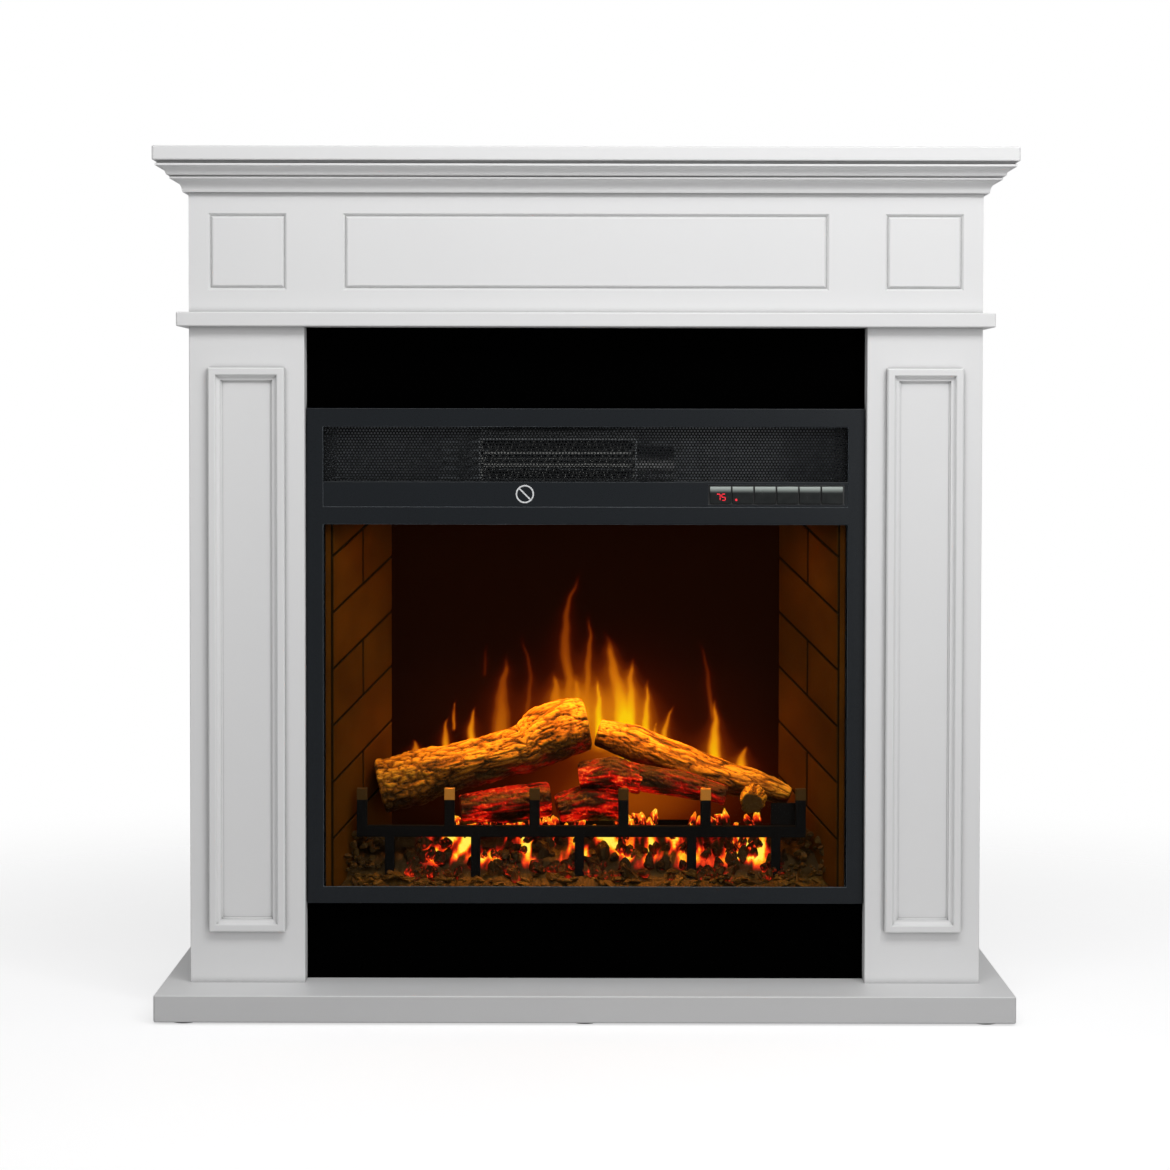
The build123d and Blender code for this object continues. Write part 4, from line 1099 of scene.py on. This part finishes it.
def coal_heat(x, y, z):
    """How hot the bed glows at a place, from 0 to 1: tongues of light that lean and fork."""
    span = min(max((x + 186) / 30, 0), 1) * min(max((214 - x) / 22, 0), 1)
    band = min(max((z - 147) / 14, 0), 1)
    lean = 16 * noise.noise(Vector((x * 0.021, z * 0.02, 4.4)))
    tongue = noise.noise(Vector(((x + lean + 0.45 * z) * 0.052, z * 0.016, 1.7)))
    crossing = noise.noise(Vector(((x + lean - 0.7 * z) * 0.10, z * 0.03, 6.1)))
    fine = noise.noise(Vector((x * 0.26, z * 0.12, 9.2)))
    return span * band * min(max(0.38 + 1.30 * tongue + 0.95 * crossing + 0.45 * fine, 0.0), 1.0)


TRAY_X_STEP = 1.7
TRAY_ROWS = 64
tray_points = []
tray_heat = []
tray_columns = int((bed_high.x - bed_low.x) / MM / TRAY_X_STEP) + 1
for row in range(TRAY_ROWS):
    y = bed_low.y / MM + (bed_high.y - bed_low.y) / MM * row / (TRAY_ROWS - 1)
    for column in range(tray_columns):
        x = bed_low.x / MM + (bed_high.x - bed_low.x) / MM * column / (tray_columns - 1)
        lump = noise.noise(Vector((x * 0.07, y * 0.07, 0.4))) * 4.0
        lump += abs(noise.noise(Vector((x * 0.13, y * 0.10, 3.1)))) * 5.0
        lump += noise.noise(Vector((x * 0.35, y * 0.35, 8.1))) * 0.8
        z = max(bed_height(y) + lump - 2.0, bed_low.z / MM + 1.0)
        tray_points.append((x * MM, y * MM, z * MM))
        tray_heat.append(coal_heat(x, y, z + 8))
tray_faces = []
for row in range(TRAY_ROWS - 1):
    for column in range(tray_columns - 1):
        corner = row * tray_columns + column
        tray_faces.append((corner, corner + 1, corner + tray_columns + 1, corner + tray_columns))
top_count = len(tray_points)
rim = sheet_border(tray_columns, TRAY_ROWS)
for corner in rim:
    x, y, z = tray_points[corner]
    tray_points.append((x, y, bed_low.z))
    tray_heat.append(0.0)
for place, corner in enumerate(rim):
    after = (place + 1) % len(rim)
    tray_faces.append((rim[after], corner, top_count + place, top_count + after))
tray_faces.append([top_count + place for place in reversed(range(len(rim)))])


def rounded_ball(steps):
    """The points and triangles of a round ball, for coals to be shaped from."""
    ball = bmesh.new()
    bmesh.ops.create_icosphere(ball, subdivisions=steps, radius=1.0)
    points = [vert.co.copy() for vert in ball.verts]
    faces = [tuple(vert.index for vert in face.verts) for face in ball.faces]
    ball.free()
    return points, faces


ball_points, ball_faces = rounded_ball(3)


def add_coal(coals, centre, size, build, glow=0.0, lit_from=-1, tones_between=(0.0, 0.35)):
    """Adds one broken coal. build is its length, depth and height for its size in millimetres,
    and lit_from is -1 for light from below and 1 for light at its tip."""
    points, faces, heats, tones = coals
    turn = Matrix.Rotation(random.uniform(-0.9, 0.9), 3, "Z")
    turn = turn @ Matrix.Rotation(random.gauss(0, 0.3), 3, "Y")
    stretch = [share * random.uniform(0.8, 1.25) for share in build]
    cuts = []
    for cut in range(10):
        way = Vector((random.gauss(0, 1), random.gauss(0, 1), random.gauss(0, 1))).normalized()
        cuts.append((way, random.uniform(0.50, 0.80)))
    seed = Vector((random.uniform(0, 90), random.uniform(0, 90), random.uniform(0, 90)))
    tone = random.uniform(*tones_between)
    first = len(points)
    for ball_point in ball_points:
        spot = ball_point.copy()
        for way, depth in cuts:
            over = spot.dot(way) - depth
            if over > 0:
                spot -= way * over
        spot *= 1 + noise.noise(spot * 3.4 + seed) * 0.16
        taper = 1 - 0.32 * (spot.z + 0.3)
        spot = Vector((spot.x * stretch[0] * taper, spot.y * stretch[1], spot.z * stretch[2])) * size
        x, y, z = Vector(centre) + turn @ spot
        points.append((x * MM, y * MM, z * MM))
        crack = max(0.0, 1.0 - abs(noise.noise(spot * (1.9 / size) + seed)) * 9)
        lower = min(max(0.1 + lit_from * spot.z / size, 0), 1)
        heats.append(min(glow * (lower * 0.7 + crack * 0.75), 1.0))
        tones.append(tone)
    faces += [tuple(first + corner for corner in face) for face in ball_faces]


coals = ([], [], [], [])
# The hot middle: tall dark coals standing in the glow, flatter ones along its front, and a
# row of tall glowing ones behind the grate.
for coal in range(105):
    x = random.uniform(-196, 218)
    y = random.triangular(-38, 14, -28)
    place = (x, y, bed_height(y) + random.uniform(-2.0, 2.5))
    add_coal(coals, place, random.uniform(4.5, 9.5), (1.0, 0.9, 1.25), coal_heat(x, y, place[2] + 4))
for coal in range(62):
    x = random.uniform(-190, 214)
    y = random.uniform(-41, -31)
    place = (x, y, bed_height(y) + random.uniform(-1.0, 3.5))
    add_coal(coals, place, random.uniform(5.0, 9.0), (1.1, 0.7, 1.1), 0.45)
for coal in range(50):
    x = random.uniform(-150, 190)
    y = random.uniform(12, 34)
    place = (x, y, 176 + random.uniform(0.0, 14.0))
    add_coal(coals, place, random.uniform(6.5, 9.5), (0.75, 0.8, 1.5), 0.95, 1)
# The cool front edge: flat brown flakes and chips lying against the glass.
for coal in range(115):
    x = random.uniform(-252, 252)
    y = random.uniform(-49, -36)
    place = (x, y, bed_height(y) + random.uniform(-2.5, 2.0))
    add_coal(coals, place, random.uniform(3.5, 8.0), (1.7, 0.8, 0.5), tones_between=(0.0, 1.0))
# The banks at the two ends: chips heaped in a narrow ridge that leans on the brick panels.
for coal in range(125):
    end = random.choice((-1, 1))
    y = random.uniform(-46, 6)
    limit = 262 - max(0.0, (y + 50)) * 0.46
    edge = min(max(random.gauss(240, 14), BANK_START), limit)
    rise = bank(end * edge) * random.uniform(0.15, 1.0) * (0.75 if y > -20 else 1.0)
    place = (end * edge, y, min(bed_height(y) + rise, 180.0))
    add_coal(coals, place, random.uniform(2.2, 5.2), (1.1, 0.9, 0.9), tones_between=(0.4, 1.0))
coal_points, coal_faces, coal_glow, coal_tone = coals

ember = Finish(
    "cast_ember_resin",
    Specular_IOR_Level=0.3,
    Specular_Tint=(1.0, 0.6, 0.25),
    Emission_Strength=1.3,
)
ember_heat = ember.carried("glow")
ember_tone = ember.carried("tone")
soot = ember.cloud(420.0, 4.0, 0.65)
# Painted highlight: coals low along the front are drawn mostly in golden colours, the rest in dark ash
# colours.
painted_front_light = 1 - ember.axis("Z").span(0.135, 0.145)
ash = ember.blend(ember_tone, (0.004, 0.002, 0.001), (0.075, 0.034, 0.006))
painted_gold_light = ember.blend(ember_tone, (0.04, 0.017, 0.0025), (0.21, 0.095, 0.012))
ember_body = ember.blend(painted_front_light * 0.75, ash, painted_gold_light)
vein = ember_heat * (0.45 + 0.6 * soot + 0.5 * ember.cloud(110.0, 2.0))
ember.coat(
    Base_Color=ember.blend(soot.span(0.35, 0.65) * 0.6, ember_body, (0.012, 0.007, 0.003)),
    Roughness=0.42 + 0.3 * soot,
    Emission_Color=ember.node(
        "ShaderNodeValToRGB",
        {
            "stops": [
                (0.0, (0.0, 0.0, 0.0)),
                (0.16, (0.02, 0.0006, 0.0)),
                (0.32, (0.28, 0.004, 0.002)),
                (0.48, (0.82, 0.035, 0.006)),
                (0.62, (1.0, 0.18, 0.006)),
                (0.78, (1.0, 0.50, 0.015)),
                (0.94, (1.0, 0.76, 0.08)),
            ]
        },
        {"Fac": vein},
    ),
    Normal=ember.relief(soot, 0.0008, 0.7),
)
first_coal = len(tray_points)
bed_faces = tray_faces + [tuple(first_coal + corner for corner in face) for face in coal_faces]
bed = mesh_piece("ember_coals", tray_points + coal_points, bed_faces, ember.material)
smooth_tray = [place < len(tray_faces) for place in range(len(bed_faces))]
bed.data.polygons.foreach_set("use_smooth", smooth_tray)
carry(bed, "glow", tray_heat + coal_glow)
carry(bed, "tone", [0.3] * len(tray_points) + coal_tone)
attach(bed, "fireplace")
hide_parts("ember_bed")


# The logs: cast resin from real branches, painted golden brown over a dark ground, so that the
# bark plates stand bright and the cracks stay nearly black. The bark is drawn brighter on top and
# dark underneath, as painted light and shade. Their cut ends show rings.
END_RINGS = 7
SCALE_LENGTH = 12.0


def bark_waves(distance, wrap, along, across, shift):
    """Random waves over the bark, -1 to 1. along and across say how close together they are."""
    return noise.noise(Vector((distance * along, wrap.x * across, wrap.y * across)) + shift)


def branch(points, faces, values, stations, bark, ring_count, around):
    """Adds one log to the lists. stations are (centre, radius) from end to end, and bark is
    (crack length, crack spacing, depth, scaly length at the first end, glow), in millimetres
    but for the glow, which is 0 to 1."""
    crack_length, crack_spacing, depth, scaly, glow = bark
    centres = [Vector(centre) for centre, radius in stations]
    lengths = [0.0]
    for one, two in zip(centres, centres[1:]):
        lengths.append(lengths[-1] + (two - one).length)
    total = lengths[-1]

    def station(distance):
        for place in range(len(lengths) - 1):
            if distance <= lengths[place + 1] or place == len(lengths) - 2:
                share = (distance - lengths[place]) / (lengths[place + 1] - lengths[place])
                share = min(max(share, 0.0), 1.0)
                easy = share * share * (3 - 2 * share) * 0.5 + share * 0.5
                centre = centres[place].lerp(centres[place + 1], share)
                radius = stations[place][1] + (stations[place + 1][1] - stations[place][1]) * easy
                return centre, radius

    seed = centres[0] * 0.37
    first = len(points)
    run = 0.0
    for ring in range(ring_count + 1):
        distance = total * ring / ring_count
        centre, radius = station(distance)
        before = station(max(distance - 6.0, 0.0))[0]
        after = station(min(distance + 6.0, total))[0]
        along = (after - before).normalized()
        side_way = along.cross(Vector((0, 1, 0))).normalized()
        depth_way = along.cross(side_way).normalized()
        end_ease = min(distance, total - distance)
        tuck = 1.0 - 0.10 * max(0.0, 1.0 - end_ease / 2.5) ** 2
        scales = min(max((scaly + 15 - distance) / 30, 0.0), 1.0)
        run += total / ring_count / (crack_length + (SCALE_LENGTH - crack_length) * scales)
        for step in range(around):
            turn = 2 * math.pi * step / around
            out = side_way * math.cos(turn) + depth_way * math.sin(turn)
            wrap = Vector((math.cos(turn), math.sin(turn), 0)) * radius
            lumps = bark_waves(distance, wrap, 0.022, 0.05, seed) * radius * 0.17
            cell = Vector((run, wrap.x / crack_spacing, wrap.y / crack_spacing)) + seed
            cell.y += 0.45 * noise.noise(cell * 1.3)
            cell.z += 0.45 * noise.noise(cell * 1.3 + Vector((9, 0, 0)))
            near = noise.voronoi(cell)[0]
            gap = near[1] - near[0]
            plate = min(max(gap / (0.24 + 0.16 * scales), 0.0), 1.0) ** 0.7
            split = abs(bark_waves(distance, wrap, 0.045, 0.30, seed * 1.9))
            split = min(split / 0.11, 1.0)
            ridges = bark_waves(distance, wrap, 0.035, 0.22, seed)
            fine = bark_waves(distance, wrap, 0.22, 0.9, seed)
            surface = min(plate, split)
            relief = depth * (0.9 * surface - 0.5 + 0.6 * ridges + 0.22 * fine)
            spot = centre + out * ((radius + lumps) * tuck + relief)
            points.append(tuple(spot * MM))
            # Painted light and shade: the bark's tone is drawn down to a tenth on the underside.
            painted_lit_side = min(max((out.z + 0.62) / 1.05, 0.0), 1.0)
            tone = (0.16 + 0.74 * surface + 0.50 * ridges + 0.30 * fine) * (0.10 + 0.90 * painted_lit_side)
            patch = bark_waves(distance, wrap, 0.035, 0.07, seed * 1.3)
            streak = bark_waves(distance, wrap, 0.05, 0.40, seed * 0.7)
            vein = bark_waves(distance, wrap, 0.09, 0.32, -seed)
            hot = min(max(0.42 + 1.1 * patch + 0.85 * streak, 0.0), 1.0) * 0.8
            hot += 0.5 * max(0.0, 1.0 - abs(vein) * 11) * min(max(0.4 + 2.5 * patch, 0.0), 1.0)
            # On the golden logs, scaly or with a glow under one half, the glow is kept to the underside
            # and off the scaly end: painted red light of the embers below.
            if scaly or glow < 0.5:
                hot *= min(max((-0.05 - out.z) * 1.8, 0.0), 1.0)
                hot *= min(max((distance - scaly - 20) / 40, 0.0), 1.0)
            values.append((min(max(tone, 0.0), 1.0), min(hot, 1.0) * glow, 0.0))
    for ring in range(ring_count):
        for step in range(around):
            after = (step + 1) % around
            corner = first + ring * around
            faces.append((corner + step, corner + after, corner + around + after, corner + around + step))
    for end_ring, centre, sign in ((0, centres[0], 1), (ring_count, centres[-1], -1)):
        loop = [first + end_ring * around + step for step in range(around)]
        for ring in range(1, END_RINGS):
            share = 1 - ring / END_RINGS
            start_of_ring = len(points)
            for step in range(around):
                edge = Vector(points[first + end_ring * around + step]) / MM
                spot = centre + (edge - centre) * share
                wobble = noise.noise(spot * 0.35 + seed) * 0.9 + 0.5 * math.sin(share * 26)
                outwards = (centres[0] - centres[1]) if sign == 1 else (centres[-1] - centres[-2])
                spot = spot + outwards.normalized() * wobble * min(1.0, ring / 2)
                points.append(tuple(spot * MM))
                # The cut ends glow at a fifth of the log's glow; on the golden logs this is painted ember
                # light.
                values.append((0.35 + 0.3 * math.sin(share * 26), glow * 0.2, 1.0))
            current = [start_of_ring + step for step in range(around)]
            for step in range(around):
                after = (step + 1) % around
                face = (loop[step], loop[after], current[after], current[step])
                faces.append(face if sign == -1 else face[::-1])
            loop = current
        faces.append(tuple(loop) if sign == -1 else tuple(reversed(loop)))


def log_piece(name, branches, material, node_name, slot_name, **detail):
    """One visual log piece in place of a packed one. branches are (stations, bark)."""
    points = []
    faces = []
    values = []
    for stations, bark in branches:
        branch(points, faces, values, stations, bark, **detail)
    piece = mesh_piece(name, points, faces, material)
    carry(piece, "bark", [value[0] for value in values])
    carry(piece, "glow", [value[1] for value in values])
    carry(piece, "cut", [value[2] for value in values])
    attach(piece, "fireplace")
    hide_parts(node_name)


def log_finish(name, dark, middle_tone, gold, glow_strength):
    """Painted bark, from the cracks' colour to the plates', with a red glow where the glow value is
    high: the charred logs' own glow, and painted ember light on the golden logs.
    """
    finish = Finish(
        name,
        Specular_IOR_Level=0.28,
        Specular_Tint=(1.0, 0.62, 0.22),
        Emission_Strength=glow_strength,
    )
    bark = finish.carried("bark")
    hot = finish.carried("glow")
    cut = finish.carried("cut")
    grain_noise = finish.cloud(520.0, 5.0, 0.62)
    blotch = finish.cloud(32.0, 3.0)
    shade_mix = bark * 0.8 + 0.4 * grain_noise - 0.14 + 0.3 * (blotch - 0.5)
    ramp = finish.node(
        "ShaderNodeValToRGB",
        {"stops": [(0.10, dark), (0.42, middle_tone), (0.86, gold)]},
        {"Fac": shade_mix},
    )
    end_tone = finish.blend(grain_noise, (0.02, 0.008, 0.002), (0.09, 0.038, 0.007))
    speckle = finish.cloud(260.0, 4.0)
    finish.coat(
        Base_Color=finish.blend(cut, ramp, end_tone),
        Roughness=0.34 + 0.35 * grain_noise,
        Normal=finish.relief(grain_noise, 0.0012, 0.8),
        Emission_Color=finish.node(
            "ShaderNodeValToRGB",
            {
                "stops": [
                    (0.0, (0.0, 0.0, 0.0)),
                    (0.22, (0.025, 0.0004, 0.0)),
                    (0.48, (0.22, 0.001, 0.0005)),
                    (0.72, (0.72, 0.006, 0.002)),
                    (0.98, (1.0, 0.17, 0.02)),
                ]
            },
            {"Fac": hot * (0.55 + 0.9 * speckle)},
        ),
    )
    return finish.material


# The golden logs' glow is painted red ember light on their undersides.
golden_bark = log_finish(
    "golden_bark_resin",
    dark=(0.012, 0.004, 0.001),
    middle_tone=(0.25, 0.075, 0.004),
    gold=(0.84, 0.36, 0.020),
    glow_strength=0.7,
)
log_piece(
    "left_bark_log",
    [
        (
            [
                ((-221, -2, 227), 28.5),
                ((-185, -2, 236), 28.5),
                ((-143, 0, 248), 24.5),
                ((-100, 2, 259), 23.0),
                ((-64, 5, 268), 25.0),
                ((-40, 8, 282), 31.0),
                ((-18, 10, 290), 30.5),
                ((2, 12, 294), 26.0),
            ],
            (34.0, 7.5, 2.6, 62.0, 0.48),
        )
    ],
    golden_bark,
    "left_log",
    "log_resin",
    ring_count=230,
    around=150,
)
log_piece(
    "right_bark_log",
    [
        (
            [
                ((14, 27, 283), 14.0),
                ((55, 22, 271), 19.0),
                ((88, 17, 259), 18.5),
                ((127, 12, 244), 17.5),
                ((165, 7, 232), 16.0),
                ((200, 3, 225), 13.5),
                ((221, 0, 217), 9.5),
            ],
            (46.0, 8.5, 1.5, 0.0, 0.40),
        ),
        (
            [((184, 2, 222), 11.0), ((181, -14, 217), 13.0), ((179, -32, 214), 12.5)],
            (9.0, 6.0, 2.0, 0.0, 0.0),
        ),
    ],
    golden_bark,
    "right_log",
    "log_resin",
    ring_count=190,
    around=110,
)
charred = log_finish(
    "charred_glowing_resin",
    dark=(0.004, 0.001, 0.0005),
    middle_tone=(0.018, 0.004, 0.0015),
    gold=(0.075, 0.020, 0.004),
    glow_strength=1.1,
)
log_piece(
    "charred_logs",
    [
        (
            [((-134, -10, 203), 14.5), ((-84, -6, 210), 19.0), ((-38, 0, 214), 17.0)],
            (34.0, 6.0, 2.4, 0.0, 0.85),
        ),
        (
            [((-6, -6, 238), 14.0), ((30, -8, 243), 17.0), ((62, -10, 236), 15.0)],
            (24.0, 8.0, 2.2, 0.0, 1.0),
        ),
        (
            [((58, -10, 240), 14.0), ((104, -12, 232), 14.5), ((152, -15, 220), 10.0)],
            (38.0, 9.0, 1.8, 0.0, 0.70),
        ),
        (
            [((-30, -6, 203), 15.0), ((2, -2, 211), 19.0), ((40, 4, 208), 16.0)],
            (28.0, 8.0, 2.2, 0.0, 0.85),
        ),
    ],
    charred,
    "ember_logs",
    "char_resin",
    ring_count=110,
    around=80,
)

# The heating block: ceramic heating stones clamped between aluminium bars, with folded
# aluminium fins on both faces, in a thin bent frame that shows through the grille.
block_low, block_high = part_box("heating_block")
FIN_PITCH = 3.6
FIN_GAUGE = 0.35
fin_points = []
fin_faces = []


def add_box(points, faces, low_corner, high_corner):
    """Adds a closed bar between two corners in metres."""
    first = len(points)
    for z in (low_corner[2], high_corner[2]):
        for x, y in ((0, 0), (1, 0), (1, 1), (0, 1)):
            points.append(((low_corner, high_corner)[x][0], (low_corner, high_corner)[y][1], z))
    for face in ((0, 3, 2, 1), (4, 5, 6, 7), (0, 1, 5, 4), (1, 2, 6, 5), (2, 3, 7, 6), (3, 0, 4, 7)):
        faces.append(tuple(first + corner for corner in face))


def add_fins(points, faces, x_from, x_to, z_from, z_to, y_from, y_to):
    """Adds a folded strip that zigzags between two heights, in metres."""
    folds = int((x_to - x_from) / (FIN_PITCH * MM))
    half = FIN_GAUGE * MM / 2
    for fold in range(folds):
        x0 = x_from + (x_to - x_from) * fold / folds
        x1 = x_from + (x_to - x_from) * (fold + 1) / folds
        z0, z1 = (z_from, z_to) if fold % 2 == 0 else (z_to, z_from)
        first = len(points)
        for y in (y_from, y_to):
            points += [(x0 - half, y, z0), (x0 + half, y, z0), (x1 + half, y, z1), (x1 - half, y, z1)]
        for face in ((0, 1, 2, 3), (7, 6, 5, 4), (0, 4, 5, 1), (1, 5, 6, 2), (2, 6, 7, 3), (3, 7, 4, 0)):
            faces.append(tuple(first + corner for corner in face))


block_height = block_high.z - block_low.z
levels = [block_low.z + block_height * share for share in (0.0, 0.30, 0.38, 0.62, 0.70, 1.0)]
inset = 0.002
for lower, upper_level in ((levels[1], levels[2]), (levels[3], levels[4])):
    bar_low = (block_low.x, block_low.y, lower)
    bar_high = (block_high.x, block_high.y, upper_level)
    add_box(fin_points, fin_faces, bar_low, bar_high)
for lower, upper_level in ((levels[0], levels[1]), (levels[2], levels[3]), (levels[4], levels[5])):
    along_block = (block_low.x + inset, block_high.x - inset)
    through_block = (block_low.y + inset, block_high.y - inset)
    add_fins(fin_points, fin_faces, *along_block, lower, upper_level, *through_block)
for x in (block_low.x, block_high.x - inset):
    add_box(fin_points, fin_faces, (x, block_low.y, block_low.z), (x + inset, block_high.y, block_high.z))
fin_metal = Finish("dulled_fin_aluminium", Metallic=0.25, Specular_IOR_Level=0.6)
oxide = fin_metal.cloud(300.0, 3.0)
fin_metal.coat(
    Base_Color=fin_metal.blend(oxide, (0.62, 0.62, 0.58), (0.85, 0.86, 0.83)),
    Roughness=0.35 + 0.2 * oxide,
)
heat_block = mesh_piece("finned_heating_block", fin_points, fin_faces, fin_metal.material, smooth=False)
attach(heat_block, "fireplace")
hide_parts("heating_block")
